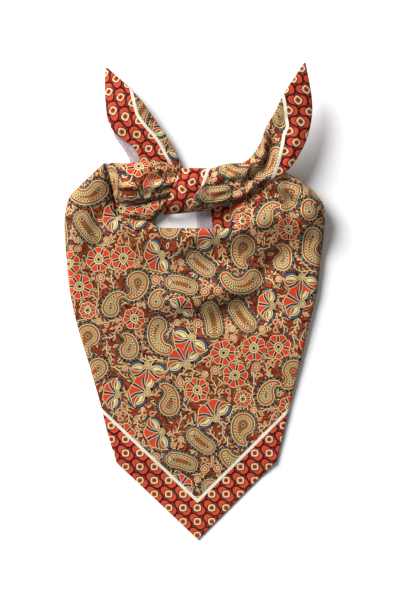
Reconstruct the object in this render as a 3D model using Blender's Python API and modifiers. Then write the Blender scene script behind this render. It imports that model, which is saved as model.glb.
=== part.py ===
"""Bandana scarf: one printed square of cotton, folded on its diagonal, tied into
a neck loop and laid flat on its back.

World frame in metres, +Z up.  +X runs from the wearer's right shoulder fold to
the left one as seen from the front, +Y runs from the point of the triangle to
the knot, and the underside of the side folds and of the point lie on Z = 0.
All tables below are in millimetres.
"""
import math
from collections import namedtuple

import bmesh
import bpy
import numpy as np

# ---------------------------------------------------------------- named sizes
MM = 0.001
OBJECT_NAME = "bandana_scarf"
CENTRE_SHIFT = (0.5, 2.25)     # brings the middle of the outline onto the origin
WALL = 1.2                     # folded cloth: two cotton layers and the air between
THIN_WALL = 1.0                # a single layer, with its ripple
ROLL_WALL = 2.4                # the rolled band under the knot
GAP = 0.3                      # clearance between neighbouring stretches
FOLD_TOP = 1.2                 # the side folds lie between z = 0 and this height
LAYER_2 = FOLD_TOP + GAP       # lowest height of whatever lies on the side folds
CORE_BASE = 2.9                # underside of the layers inside the band
PANEL_LOW = 1.9                # height where the panel's rolled side meets the fold

PANEL_ROWS, PANEL_COLS = 38, 32
RIBBON_COLS = 8

# ------------------------------------------------------------------- tables
Edge = namedtuple("Edge", "y x")
# outline of the hanging panel, from each shoulder down to the start of the point
LEFT_SIDE = (
    Edge(113.5, -75.0), Edge(106.0, -83.0), Edge(96.0, -93.5), Edge(86.0, -103.0),
    Edge(76.5, -106.0), Edge(61.5, -107.5), Edge(37.0, -106.0), Edge(7.0, -103.0),
    Edge(-22.5, -96.5), Edge(-52.0, -87.5), Edge(-81.5, -79.0), Edge(-111.5, -71.5),
    Edge(-133.5, -64.5),
)
RIGHT_SIDE = (
    Edge(105.5, 75.0), Edge(97.0, 88.5), Edge(86.5, 100.0), Edge(76.0, 106.0),
    Edge(61.5, 106.5), Edge(37.0, 104.0), Edge(7.0, 100.5), Edge(-22.5, 93.5),
    Edge(-52.0, 87.0), Edge(-81.5, 79.5), Edge(-111.5, 72.5), Edge(-132.0, 67.5),
)
POINT = Edge(-197.0, 2.5)      # the square's corner at the bottom of the panel

Neck = namedtuple("Neck", "x y drop")
# the diagonal fold of the square, from the left shoulder to the right one
NECKLINE = (
    Neck(-75.0, 113.5, 3.0), Neck(-73.5, 107.0, 4.0), Neck(-69.0, 99.0, 5.0),
    Neck(-68.0, 88.0, 5.0), Neck(-66.5, 78.0, 4.0), Neck(-65.0, 69.5, 3.0),
    Neck(-51.0, 65.0, 3.0), Neck(-38.0, 64.0, 3.0), Neck(-32.0, 61.0, 3.0),
    Neck(-26.5, 60.0, 3.0), Neck(1.5, 59.5, 3.0), Neck(15.0, 59.0, 3.0),
    Neck(29.0, 59.5, 3.0), Neck(34.0, 63.5, 3.0), Neck(35.0, 76.5, 3.0),
    Neck(39.5, 82.5, 4.0), Neck(47.5, 89.0, 4.0), Neck(55.0, 93.5, 4.0),
    Neck(63.0, 96.5, 4.0), Neck(75.0, 105.5, 4.0),
)

Rise = namedtuple("Rise", "y left mid right")
# height of the panel's upper face near its left side, middle and right side
PANEL_RISE = (
    Rise(113.5, 9.0, 8.0, 19.0), Rise(104.0, 11.0, 8.0, 20.0), Rise(94.0, 13.0, 8.0, 22.0),
    Rise(84.0, 13.5, 8.4, 22.5), Rise(72.0, 13.5, 9.2, 22.4), Rise(62.0, 13.0, 10.6, 20.4),
    Rise(52.0, 12.0, 10.8, 17.0), Rise(42.0, 10.8, 10.2, 13.2), Rise(32.0, 9.6, 9.2, 9.8),
    Rise(20.0, 8.4, 8.4, 8.4), Rise(7.0, 7.5, 7.9, 8.2), Rise(-8.0, 6.8, 7.0, 8.0),
    Rise(-22.5, 6.0, 6.4, 7.0),
    Rise(-52.0, 4.9, 4.7, 5.2), Rise(-81.5, 4.1, 3.9, 4.2), Rise(-111.5, 3.6, 3.3, 3.6),
    Rise(-131.0, 3.3, 2.8, 3.3), Rise(-136.0, 2.6, 2.2, 2.6), Rise(-145.0, 1.25, 1.2, 1.25),
    Rise(-152.0, 1.2, 1.2, 1.2), Rise(-198.0, 1.2, 1.2, 1.2),
)

Fold = namedtuple("Fold", "y inner_left inner_right")
# free edges of the two sides turned behind the panel
SIDE_FOLDS = (
    Fold(-129.0, -63.8, 66.4), Fold(-110.0, -56.0, 59.0), Fold(-81.5, -48.0, 49.0),
    Fold(-50.0, -42.0, 39.0), Fold(-22.5, -38.5, 29.0), Fold(15.0, -35.0, 16.0),
    Fold(45.0, -33.5, 6.0), Fold(60.0, -33.0, 2.0), Fold(73.0, -33.0, 1.0),
    Fold(88.0, -37.0, -2.0), Fold(95.0, -44.0, -4.0),
)

Crease = namedtuple("Crease", "x1 y1 x2 y2 width depth")
# the largest folds of the panel: ridges rise, valleys sink
FOLDS = (
    Crease(60.0, 98.0, 99.0, 78.0, 5.0, 2.2),      # ridge below the right tail
    Crease(58.0, 92.0, 97.0, 66.0, 4.6, -3.2),     # valley below it
    Crease(104.0, 76.0, -20.0, 47.0, 8.5, 4.2),    # long ridge out of the right shoulder
    Crease(108.0, 42.0, -26.0, 30.0, 9.5, -2.8),   # its valley
    Crease(72.0, 36.0, 35.0, -8.0, 9.0, -2.1),     # valley slanting across the middle
    Crease(66.0, 13.0, -30.0, -2.0, 8.5, 3.2),     # second long ridge
    Crease(66.0, -9.0, -36.0, -24.0, 9.0, -2.4),   # its valley
    Crease(-84.0, 96.0, -90.0, 40.0, 8.0, 1.6),    # left shoulder
    Crease(-77.0, 84.0, -84.0, 34.0, 5.5, -1.8),
    Crease(-66.0, 60.0, -40.0, 22.0, 8.5, 1.5),
)

Section = namedtuple("Section", "ax ay az bx by bz crown")
# a ribbon of cloth runs through its sections: edge a, edge b, and the height of
# the arch between them
BAND_LEFT_UPPER = (
    Section(-72.2, 112.6, 6.5, -64.9, 80.5, 6.5, 3.0),
    Section(-66.5, 113.6, 7.4, -61.0, 79.7, 8.0, 8.0),
    Section(-57.5, 113.0, 7.6, -54.0, 79.6, 8.5, 11.0),
    Section(-46.5, 114.6, 7.8, -44.5, 80.6, 8.5, 11.0),
    Section(-36.0, 115.9, 7.8, -34.0, 83.0, 8.5, 10.0),
    Section(-24.0, 113.6, 7.6, -24.5, 85.6, 9.0, 8.5),
    Section(-14.0, 110.0, 7.6, -17.2, 88.4, 9.0, 7.0),
)
BAND_LEFT_LOWER = (
    Section(-62.8, 78.2, 5.5, -62.2, 71.2, 4.2, 2.0),
    Section(-55.0, 78.2, 6.0, -55.0, 68.6, 4.2, 4.0),
    Section(-44.5, 79.2, 6.5, -45.0, 67.0, 4.2, 5.0),
    Section(-34.5, 81.6, 6.8, -36.5, 66.0, 4.2, 5.5),
    Section(-25.0, 84.2, 7.0, -29.8, 70.8, 4.2, 5.0),
    Section(-20.4, 86.2, 7.0, -24.0, 78.0, 5.0, 3.0),
)
KNOT_WRAP = (
    Section(-12.0, 109.0, 6.5, 11.2, 109.0, 7.2, 1.0),
    Section(-12.4, 103.5, 14.2, 12.4, 103.5, 14.6, 1.6),
    Section(-13.8, 94.0, 18.0, 14.6, 94.0, 17.8, 2.0),
    Section(-15.3, 86.5, 17.6, 15.6, 86.0, 16.8, 2.0),
    Section(-19.8, 77.5, 12.4, 14.6, 78.6, 12.0, 2.0),
    Section(-26.2, 70.6, 5.2, 8.0, 73.4, 6.0, 1.0),
)
BAND_RIGHT = (
    Section(13.2, 108.8, 8.0, 17.2, 75.6, 8.0, 9.5),
    Section(19.4, 110.6, 8.4, 21.4, 78.2, 9.0, 11.0),
    Section(27.0, 112.6, 9.0, 28.0, 81.8, 11.5, 10.5),
    Section(39.0, 113.4, 10.5, 40.2, 85.2, 15.5, 8.5),
    Section(45.5, 117.6, 12.0, 48.0, 92.2, 18.5, 6.0),
    Section(48.8, 122.0, 13.0, 54.6, 96.4, 20.0, 4.0),
)
TAIL_RIGHT = (
    Section(49.8, 123.2, 13.6, 56.0, 97.0, 20.6, 4.0),
    Section(54.0, 130.5, 16.2, 67.1, 100.6, 23.0, 3.5),
    Section(57.1, 139.7, 19.4, 77.8, 108.4, 23.0, 3.0),
    Section(62.2, 148.9, 22.4, 86.1, 120.9, 21.4, 2.6),
    Section(67.3, 158.7, 24.8, 91.9, 133.8, 20.6, 2.4),
    Section(71.4, 166.9, 27.0, 94.9, 147.4, 21.4, 2.2),
    Section(76.4, 174.9, 29.0, 95.5, 158.8, 23.6, 2.0),
    Section(81.8, 182.9, 30.6, 94.1, 170.5, 26.8, 1.6),
    Section(86.3, 189.5, 32.2, 91.4, 182.9, 30.6, 1.0),
    Section(88.3, 192.4, 34.0, 89.5, 191.6, 33.8, 0.2),
)
TAIL_LEFT = (
    Section(-47.0, 110.6, 4.5, -13.5, 107.0, 4.8, 0.4),
    Section(-45.6, 116.0, 6.0, -11.6, 111.5, 6.2, 0.8),
    Section(-49.5, 124.5, 7.5, -16.0, 121.5, 8.0, 1.4),
    Section(-58.0, 131.8, 8.6, -22.8, 134.5, 9.0, 2.0),
    Section(-66.3, 138.2, 9.6, -32.5, 148.0, 10.0, 2.4),
    Section(-71.4, 148.0, 10.0, -42.5, 162.5, 10.5, 2.4),
    Section(-73.2, 160.5, 10.0, -51.5, 172.5, 10.0, 2.2),
    Section(-74.0, 175.0, 9.0, -61.0, 181.6, 9.0, 1.6),
    Section(-73.8, 186.0, 8.0, -68.4, 188.3, 8.0, 0.8),
    Section(-73.2, 191.2, 7.0, -72.0, 191.8, 7.0, 0.1),
)
TAIL_LEFT_BACK = (
    Section(-52.6, 112.0, 2.9, -40.0, 112.0, 2.8, 0.0),
    Section(-54.6, 118.0, 4.0, -42.0, 121.0, 3.8, 0.0),
    Section(-59.2, 125.6, 5.0, -48.0, 130.0, 4.8, 0.3),
    Section(-65.6, 134.4, 6.2, -56.0, 139.0, 6.0, 0.3),
    Section(-67.4, 140.0, 6.8, -62.0, 143.0, 6.6, 0.1),
)
BAND_CORE = (
    Section(-63.0, 104.5, 4.5, -59.5, 84.0, 4.5, 3.0),
    Section(-50.0, 104.5, 4.5, -47.0, 84.5, 4.5, 8.0),
    Section(-34.0, 104.5, 4.5, -33.0, 87.0, 4.5, 8.0),
    Section(-18.0, 103.5, 4.5, -18.0, 91.5, 4.5, 6.5),
    Section(-6.0, 103.0, 4.5, -6.0, 84.0, 4.5, 8.5),
    Section(6.0, 103.0, 4.5, 6.0, 82.0, 4.5, 8.5),
    Section(20.0, 104.0, 4.5, 22.0, 84.0, 4.5, 8.0),
    Section(34.0, 106.5, 5.0, 36.0, 89.0, 6.0, 7.5),
    Section(44.0, 111.0, 5.5, 46.0, 98.0, 7.0, 4.0),
)
# the single layer with the border print seen through the neck opening
INNER_NECK = (
    Section(13.0, 77.5, 2.5, 14.8, 57.6, 2.5, 0.0),
    Section(24.0, 77.5, 2.5, 24.0, 57.6, 2.5, 0.0),
    Section(33.5, 77.5, 2.5, 33.5, 57.6, 2.5, 0.0),
)

Finish = namedtuple("Finish", "colour roughness")
PRINT = Finish((0.42, 0.13, 0.06), 0.72)
WRONG_SIDE = Finish((0.70, 0.68, 0.70), 0.80)


# ------------------------------------------------------------ curve functions
def smooth_rows(rows, u):
    """Values of a table at row positions u, on a Catmull-Rom curve."""
    pts = np.array(rows, dtype=float)
    n = len(pts) - 1
    u = np.clip(np.asarray(u, dtype=float), 0.0, n)
    i = np.minimum(u.astype(int), n - 1)
    f = (u - i)[:, None]
    p0, p1 = pts[np.maximum(i - 1, 0)], pts[i]
    p2, p3 = pts[i + 1], pts[np.minimum(i + 2, n)]
    return 0.5 * (2 * p1 + (p2 - p0) * f + (2 * p0 - 5 * p1 + 4 * p2 - p3) * f ** 2
                  + (3 * p1 - p0 - 3 * p2 + p3) * f ** 3)


def along(points, fraction):
    """Points of a polyline at fractions of its length."""
    pts = np.array(points, dtype=float)
    step = np.linalg.norm(np.diff(pts[:, :2], axis=0), axis=1)
    length = np.concatenate([[0.0], np.cumsum(step)])
    return np.stack([np.interp(np.asarray(fraction) * length[-1], length, pts[:, k])
                     for k in range(pts.shape[1])], axis=-1)


def quarter_round(distance, width):
    """0 at an edge, 1 beyond width, on a quarter circle."""
    q = np.clip(distance / width, 0.0, 1.0)
    return np.sqrt(np.maximum(0.0, 1.0 - (1.0 - q) ** 2))


def ease(q):
    q = np.clip(q, 0.0, 1.0)
    return q * q * (3.0 - 2.0 * q)


# ---------------------------------------------------------------- the panel
def side_x(table, y):
    rows = table[::-1]
    return np.interp(y, [r.y for r in rows], [r.x for r in rows])


def fold_height(x, y):
    """Sum of the soft ridges and valleys, each fading at its ends."""
    z = np.zeros_like(x)
    for c in FOLDS:
        dx, dy = c.x2 - c.x1, c.y2 - c.y1
        length = math.hypot(dx, dy)
        a = ((x - c.x1) * dx + (y - c.y1) * dy) / length
        b = ((y - c.y1) * dx - (x - c.x1) * dy) / length
        ends = ease((a + 0.25 * length) / (0.4 * length)) * ease((1.25 * length - a) / (0.45 * length))
        z = z + c.depth * ends * np.exp(-(b / c.width) ** 2)
    return z


def panel_height(x, y):
    """Height of the panel's upper face before its edges roll down."""
    rows = PANEL_RISE[::-1]
    ys = [r.y for r in rows]
    left = np.interp(y, ys, [r.left for r in rows])
    mid = np.interp(y, ys, [r.mid for r in rows])
    right = np.interp(y, ys, [r.right for r in rows])
    xl, xr = side_x(LEFT_SIDE, y), side_x(RIGHT_SIDE, y)
    u = (2.0 * x - xl - xr) / (xr - xl)
    rise = mid + (left - mid) * ease(-u) + (right - mid) * ease(u)
    return rise + fold_height(x, y)


def panel_grid(s_values, t_values, rolled=True):
    """Grid of points on the panel: s from the neckline to the point's cut edges,
    t from the left side to the right."""
    s = np.asarray(s_values, dtype=float)
    t = np.asarray(t_values, dtype=float)
    neck_x = np.array([n.x for n in NECKLINE])
    neck_y = [n.y for n in NECKLINE]
    tx = neck_x[0] + (neck_x[-1] - neck_x[0]) * t
    top = np.stack([tx, np.interp(tx, neck_x, neck_y)], axis=-1)
    drop = np.interp(tx, neck_x, [n.drop for n in NECKLINE])
    left_pts = [(e.x, e.y) for e in LEFT_SIDE]
    right_pts = [(e.x, e.y) for e in RIGHT_SIDE]
    left, right = along(left_pts, s), along(right_pts, s)
    corner = np.array([POINT.x, POINT.y])
    a, b = np.array(left_pts[-1]), np.array(right_pts[-1])
    q = np.clip(2.0 * t, 0.0, 1.0)[:, None]
    r = np.clip(2.0 * t - 1.0, 0.0, 1.0)[:, None]
    bottom = a + (corner - a) * q + (b - corner) * r
    neck_a = np.array([neck_x[0], neck_y[0]])
    neck_b = np.array([neck_x[-1], neck_y[-1]])
    S, T = s[:, None, None], t[None, :, None]
    # straight across between the sides, plus the dip of the neckline fading
    # downwards and the dip of the point fading upwards
    plan = ((1 - T) * left[:, None] + T * right[:, None]
            + (1 - S) ** 2 * (top - neck_a - (neck_b - neck_a) * t[:, None])[None]
            + S ** 2 * (bottom - a - (b - a) * t[:, None])[None])
    x, y = plan[..., 0], plan[..., 1]
    z = panel_height(x, y)
    if rolled:
        xl, xr = side_x(LEFT_SIDE, y), side_x(RIGHT_SIDE, y)
        above_point = ease((y + 139.0) / 6.0)
        width = np.maximum(2.0, 0.8 * (z - PANEL_LOW))
        edge = quarter_round(np.maximum(x - xl, 0.0), width)
        edge = edge * quarter_round(np.maximum(xr - x, 0.0), width)
        edge = 1.0 - above_point * (1.0 - edge)
        low = np.minimum(PANEL_LOW, z)
        z = low + (z - low) * edge
        from_neck = np.linalg.norm(plan - top[None], axis=-1)
        z = np.maximum(z - drop[None] * (1.0 - quarter_round(from_neck, 6.0)), low)
    return np.stack([x, y, z], axis=-1)


def side_spacing(count):
    """Columns crowded towards both sides, with one on the centre line."""
    k = np.linspace(0.0, 1.0, count + 1)
    return 0.5 * (k + 0.5 * (1.0 - np.cos(math.pi * k)))


# ---------------------------------------------------------------- ribbons
def ribbon_grid(sections, rows, cols, power=2.2):
    """Grid through a ribbon's sections, arched between its two edges."""
    v = smooth_rows(sections, np.linspace(0.0, len(sections) - 1.0, rows + 1))
    t = 0.5 - 0.5 * np.cos(math.pi * np.linspace(0.0, 1.0, cols + 1))
    a, b, crown = v[:, None, 0:3], v[:, None, 3:6], v[:, 6]
    grid = a + (b - a) * t[None, :, None]
    arch = np.maximum(0.0, 1.0 - np.abs(2.0 * t - 1.0) ** power) ** (1.0 / power)
    grid[..., 2] += crown[:, None] * arch[None, :]
    return grid


# ------------------------------------------------------------- mesh building
def material_for(name, finish):
    mat = bpy.data.materials.new("mat_" + name)
    mat.use_nodes = True
    bsdf = mat.node_tree.nodes["Principled BSDF"]
    bsdf.inputs["Base Color"].default_value = (*finish.colour, 1.0)
    bsdf.inputs["Roughness"].default_value = finish.roughness
    bsdf.inputs["Metallic"].default_value = 0.0
    return mat


def new_object(name, bm, finish, collection, parent):
    for face in bm.faces:
        face.smooth = True
    mesh = bpy.data.meshes.new(name)
    bm.to_mesh(mesh)
    bm.free()
    obj = bpy.data.objects.new(name, mesh)
    obj.data.materials.append(material_for(name, finish))
    collection.objects.link(obj)
    obj.parent = parent
    return obj


def grid_surface(grid):
    """Open surface through a grid, its faces turned up."""
    bm = bmesh.new()
    rows, cols = grid.shape[:2]
    v = [[bm.verts.new(tuple(grid[i, j] * MM)) for j in range(cols)] for i in range(rows)]
    for i in range(rows - 1):
        for j in range(cols - 1):
            bm.faces.new((v[i][j], v[i][j + 1], v[i + 1][j + 1], v[i + 1][j]))
    bm.normal_update()
    if sum(f.normal.z * f.calc_area() for f in bm.faces) < 0.0:
        bmesh.ops.reverse_faces(bm, faces=bm.faces[:])
    return bm


def cloth_wall(name, grid, wall, finish, collection, parent):
    """A wall of cloth: the open surface given thickness downwards."""
    obj = new_object(name, grid_surface(grid), finish, collection, parent)
    mod = obj.modifiers.new("thickness", "SOLIDIFY")
    mod.thickness = wall * MM
    mod.offset = -1.0
    mod.use_rim = True
    mod.use_quality_normals = True
    return obj


def rounded_solid(name, grid, base, finish, collection, parent):
    """A heap of hidden layers: a rounded top closed down to a flat base."""
    bm = grid_surface(grid)
    ring = bmesh.ops.extrude_face_region(bm, geom=bm.faces[:])
    for elem in ring["geom"]:
        if isinstance(elem, bmesh.types.BMVert):
            elem.co.z = base * MM
    bmesh.ops.recalc_face_normals(bm, faces=bm.faces[:])
    return new_object(name, bm, finish, collection, parent)


def flat_fold(name, outline, height, finish, collection, parent):
    """A side of the square lying flat on the surface."""
    bm = bmesh.new()
    bm.faces.new([bm.verts.new((x * MM, y * MM, height * MM)) for x, y in outline])
    bm.normal_update()
    if bm.faces[:][0].normal.z < 0.0:
        bmesh.ops.reverse_faces(bm, faces=bm.faces[:])
    obj = new_object(name, bm, finish, collection, parent)
    mod = obj.modifiers.new("thickness", "SOLIDIFY")
    mod.thickness = height * MM
    mod.offset = -1.0
    return obj


def side_fold_outline(table, inner_column, sign):
    """Outer edge just inside the panel's roll, inner edge from its table."""
    inner = [(getattr(f, inner_column), f.y) for f in SIDE_FOLDS]
    top_y = SIDE_FOLDS[-1].y
    ys = [top_y, 90.0, 80.0, 70.0, 55.0, 37.0, 7.0, -22.5, -52.0, -81.5, -111.5, -129.0]
    outer = [(float(side_x(table, y)) - sign * 1.4, y) for y in ys]
    return inner + outer


def main():
    for old in list(bpy.data.objects):
        bpy.data.objects.remove(old, do_unlink=True)
    parts = bpy.data.collections.new(OBJECT_NAME)
    bpy.context.scene.collection.children.link(parts)
    root = bpy.data.objects.new(OBJECT_NAME + "_origin", None)
    root.location = (CENTRE_SHIFT[0] * MM, CENTRE_SHIFT[1] * MM, 0.0)
    parts.objects.link(root)
    own = dict(collection=parts, parent=root)

    # the panel with its shoulders
    s_values = np.linspace(0.0, 1.0, PANEL_ROWS + 1) ** 1.15
    cloth_wall("front_panel", panel_grid(s_values, side_spacing(PANEL_COLS)), WALL, PRINT, **own)

    # its two sides, turned behind it
    flat_fold("side_fold_left", side_fold_outline(LEFT_SIDE, "inner_left", -1.0),
              FOLD_TOP, PRINT, **own)
    flat_fold("side_fold_right", side_fold_outline(RIGHT_SIDE, "inner_right", 1.0),
              FOLD_TOP, PRINT, **own)

    # the layers gathered under the shoulders
    core = panel_grid(np.linspace(0.075, 0.42, 9), np.linspace(0.06, 0.94, 15), rolled=False)
    core[..., 2] = np.maximum(core[..., 2] - WALL - 3.2, LAYER_2 + 0.6)
    core[0, :, 2] = core[:, 0, 2] = core[:, -1, 2] = core[-1, :, 2] = LAYER_2 + 0.5
    rounded_solid("panel_hidden_layers", core, LAYER_2, PRINT, **own)

    # the layer seen through the neck opening
    cloth_wall("inner_neck_layer", ribbon_grid(INNER_NECK, 4, 4), THIN_WALL, PRINT, **own)

    # band, knot and tails
    ribbons = (
        ("band_left_upper", BAND_LEFT_UPPER, WALL, PRINT, 2),
        ("band_left_lower", BAND_LEFT_LOWER, ROLL_WALL, PRINT, 2),
        ("knot_wrap", KNOT_WRAP, WALL, PRINT, 2),
        ("band_right", BAND_RIGHT, WALL, PRINT, 2),
        ("tail_left", TAIL_LEFT, WALL, PRINT, 2),
        ("tail_left_back", TAIL_LEFT_BACK, THIN_WALL, WRONG_SIDE, 2),
        ("tail_right", TAIL_RIGHT, WALL, PRINT, 2),
    )
    for name, table, wall, finish, per_row in ribbons:
        rows = per_row * (len(table) - 1)
        cloth_wall(name, ribbon_grid(table, rows, RIBBON_COLS), wall, finish, **own)

    band_core = ribbon_grid(BAND_CORE, 16, 6)
    rounded_solid("band_hidden_layers", band_core, CORE_BASE, PRINT, **own)


main()
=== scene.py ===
import math
from collections import namedtuple

import bmesh
import bpy
import numpy as np
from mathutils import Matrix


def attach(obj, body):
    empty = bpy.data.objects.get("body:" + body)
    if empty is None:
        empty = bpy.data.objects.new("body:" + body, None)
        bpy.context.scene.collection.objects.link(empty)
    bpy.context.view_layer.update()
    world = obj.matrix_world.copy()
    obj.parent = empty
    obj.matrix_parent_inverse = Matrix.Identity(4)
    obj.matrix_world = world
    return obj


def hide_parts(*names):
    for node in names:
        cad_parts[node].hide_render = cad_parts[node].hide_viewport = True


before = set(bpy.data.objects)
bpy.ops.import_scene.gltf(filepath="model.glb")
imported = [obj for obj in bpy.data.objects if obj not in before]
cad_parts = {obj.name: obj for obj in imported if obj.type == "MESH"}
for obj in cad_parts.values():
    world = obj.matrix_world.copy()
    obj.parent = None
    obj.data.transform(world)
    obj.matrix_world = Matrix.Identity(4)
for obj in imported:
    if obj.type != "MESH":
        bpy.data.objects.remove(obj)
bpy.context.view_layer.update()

# ===================================================================== sizes
# millimetres in the scarf's own layout frame; SHIFT brings it onto the origin
MM = 0.001
SHIFT = np.array([0.5, 2.25, 0.0])
SHEET = 0.45                 # one layer of cloth, with its hem and nap
PANEL_LOW = 1.9
SQUARE = 560.0               # side of the square of cloth
BORDER = 21.6                # width of the printed border
LINE = 2.5                   # width of the cream line inside it
PITCH = 11.85                # repeat of the border print

Edge = namedtuple("Edge", "y x")
LEFT_SIDE = (
    Edge(113.5, -75.0), Edge(106.0, -83.0), Edge(96.0, -93.5), Edge(86.0, -103.0),
    Edge(76.5, -106.0), Edge(61.5, -107.5), Edge(37.0, -106.0), Edge(7.0, -103.0),
    Edge(-22.5, -96.5), Edge(-52.0, -87.5), Edge(-81.5, -79.0), Edge(-111.5, -71.5),
    Edge(-133.5, -64.5),
)
RIGHT_SIDE = (
    Edge(105.5, 75.0), Edge(97.0, 88.5), Edge(86.5, 100.0), Edge(76.0, 106.0),
    Edge(61.5, 106.5), Edge(37.0, 104.0), Edge(7.0, 100.5), Edge(-22.5, 93.5),
    Edge(-52.0, 87.0), Edge(-81.5, 79.5), Edge(-111.5, 72.5), Edge(-132.0, 67.5),
)
POINT = Edge(-197.0, 2.5)

Neck = namedtuple("Neck", "x y drop")
NECKLINE = (
    Neck(-75.0, 113.5, 3.0), Neck(-73.5, 107.0, 4.0), Neck(-69.0, 99.0, 5.0),
    Neck(-68.0, 88.0, 5.0), Neck(-66.5, 78.0, 4.0), Neck(-65.0, 69.5, 3.0),
    Neck(-51.0, 65.0, 3.0), Neck(-38.0, 64.0, 3.0), Neck(-32.0, 61.0, 3.0),
    Neck(-26.5, 60.0, 3.0), Neck(1.5, 59.5, 3.0), Neck(15.0, 59.0, 3.0),
    Neck(29.0, 59.5, 3.0), Neck(34.0, 63.5, 3.0), Neck(35.0, 76.5, 3.0),
    Neck(39.5, 82.5, 4.0), Neck(47.5, 89.0, 4.0), Neck(55.0, 93.5, 4.0),
    Neck(63.0, 96.5, 4.0), Neck(75.0, 105.5, 4.0),
)

Rise = namedtuple("Rise", "y left mid right")
PANEL_RISE = (
    Rise(113.5, 9.0, 8.0, 19.0), Rise(104.0, 11.0, 8.0, 20.0), Rise(94.0, 13.0, 8.0, 22.0),
    Rise(84.0, 13.5, 8.4, 22.5), Rise(72.0, 13.5, 9.2, 22.4), Rise(62.0, 13.0, 10.6, 20.4),
    Rise(52.0, 12.0, 10.8, 17.0), Rise(42.0, 10.8, 10.2, 13.2), Rise(32.0, 9.6, 9.2, 9.8),
    Rise(20.0, 8.4, 8.4, 8.4), Rise(7.0, 7.5, 7.9, 8.2), Rise(-8.0, 6.8, 7.0, 8.0),
    Rise(-22.5, 6.0, 6.4, 7.0),
    Rise(-52.0, 4.9, 4.7, 5.2), Rise(-81.5, 4.1, 3.9, 4.2), Rise(-111.5, 3.6, 3.3, 3.6),
    Rise(-131.0, 3.3, 2.8, 3.3), Rise(-136.0, 2.6, 2.2, 2.6), Rise(-145.0, 1.25, 1.2, 1.25),
    Rise(-152.0, 1.2, 1.2, 1.2), Rise(-198.0, 1.2, 1.2, 1.2),
)
Fold = namedtuple("Fold", "y inner_left inner_right")
SIDE_FOLDS = (
    Fold(-133.5, -64.5, 67.5), Fold(-110.0, -56.0, 59.0), Fold(-81.5, -48.0, 49.0),
    Fold(-50.0, -42.0, 39.0), Fold(-22.5, -38.5, 29.0), Fold(15.0, -35.0, 16.0),
    Fold(45.0, -33.5, 6.0), Fold(60.0, -33.0, 2.0), Fold(73.0, -33.0, 1.0),
    Fold(88.0, -37.0, -2.0), Fold(95.0, -44.0, -4.0), Fold(114.0, -60.0, 20.0),
)

Section = namedtuple("Section", "ax ay az bx by bz crown")
BAND_LEFT_UPPER = (
    Section(-72.2, 112.6, 6.5, -64.9, 80.5, 6.5, 3.0),
    Section(-66.5, 113.6, 7.4, -61.0, 79.7, 8.0, 8.0),
    Section(-57.5, 113.0, 7.6, -54.0, 79.6, 8.5, 11.0),
    Section(-46.5, 114.6, 7.8, -44.5, 80.6, 8.5, 11.0),
    Section(-36.0, 115.9, 7.8, -34.0, 83.0, 8.5, 10.0),
    Section(-24.0, 113.6, 7.6, -24.5, 85.6, 9.0, 8.5),
    Section(-14.0, 110.0, 7.6, -17.2, 88.4, 9.0, 7.0),
)
BAND_LEFT_LOWER = (
    Section(-62.8, 78.2, 5.5, -62.2, 71.2, 4.2, 2.0),
    Section(-55.0, 78.2, 6.0, -55.0, 68.6, 4.2, 4.0),
    Section(-44.5, 79.2, 6.5, -45.0, 67.0, 4.2, 5.0),
    Section(-34.5, 81.6, 6.8, -36.5, 66.0, 4.2, 5.5),
    Section(-25.0, 84.2, 7.0, -29.8, 70.8, 4.2, 5.0),
    Section(-20.4, 86.2, 7.0, -24.0, 78.0, 5.0, 3.0),
)
# knot, band and right tail as one strip, each section from its top edge down
STRIP = (
    Section(-12.0, 109.0, 6.5, -26.2, 70.6, 5.2, 12.6),
    Section(-4.0, 109.2, 6.6, -16.0, 71.6, 5.2, 13.2),
    Section(4.0, 109.2, 6.9, -3.0, 72.6, 5.6, 12.8),
    Section(13.2, 108.9, 8.0, 14.0, 75.2, 7.6, 10.2),
    Section(19.4, 110.6, 8.4, 21.4, 78.2, 9.0, 11.0),
    Section(27.0, 112.6, 9.0, 28.0, 81.8, 11.5, 10.5),
    Section(39.0, 113.4, 10.5, 40.2, 85.2, 15.5, 8.5),
    Section(45.5, 117.6, 12.0, 48.0, 92.2, 18.5, 6.0),
    Section(49.4, 122.6, 13.4, 55.6, 96.7, 20.2, 4.0),
    Section(54.0, 130.5, 16.2, 67.1, 100.6, 23.0, 3.5),
    Section(57.1, 139.7, 19.4, 77.8, 108.4, 23.0, 3.0),
    Section(62.2, 148.9, 22.4, 86.1, 120.9, 21.4, 2.6),
    Section(67.3, 158.7, 24.8, 91.9, 133.8, 20.6, 2.4),
    Section(71.4, 166.9, 27.0, 94.9, 147.4, 21.4, 2.2),
    Section(76.4, 174.9, 29.0, 95.5, 158.8, 23.6, 2.0),
    Section(81.8, 182.9, 30.6, 94.1, 170.5, 26.8, 1.6),
    Section(86.3, 189.5, 32.2, 91.4, 182.9, 30.6, 1.0),
    Section(88.3, 192.4, 34.0, 89.5, 191.6, 33.8, 0.2),
)
TAIL_LEFT = (
    Section(-47.0, 110.6, 4.5, -13.5, 107.0, 4.8, 0.4),
    Section(-45.6, 116.0, 6.0, -11.6, 111.5, 6.2, 0.8),
    Section(-49.5, 124.5, 7.5, -16.0, 121.5, 8.0, 1.4),
    Section(-58.0, 131.8, 8.6, -22.8, 134.5, 9.0, 2.0),
    Section(-66.3, 138.2, 9.6, -32.5, 148.0, 10.0, 2.4),
    Section(-71.4, 148.0, 10.0, -42.5, 162.5, 10.5, 2.4),
    Section(-73.2, 160.5, 10.0, -51.5, 172.5, 10.0, 2.2),
    Section(-74.0, 175.0, 9.0, -61.0, 181.6, 9.0, 1.6),
    Section(-73.8, 186.0, 8.0, -68.4, 188.3, 8.0, 0.8),
    Section(-73.2, 191.2, 7.0, -72.0, 191.8, 7.0, 0.1),
)
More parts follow.
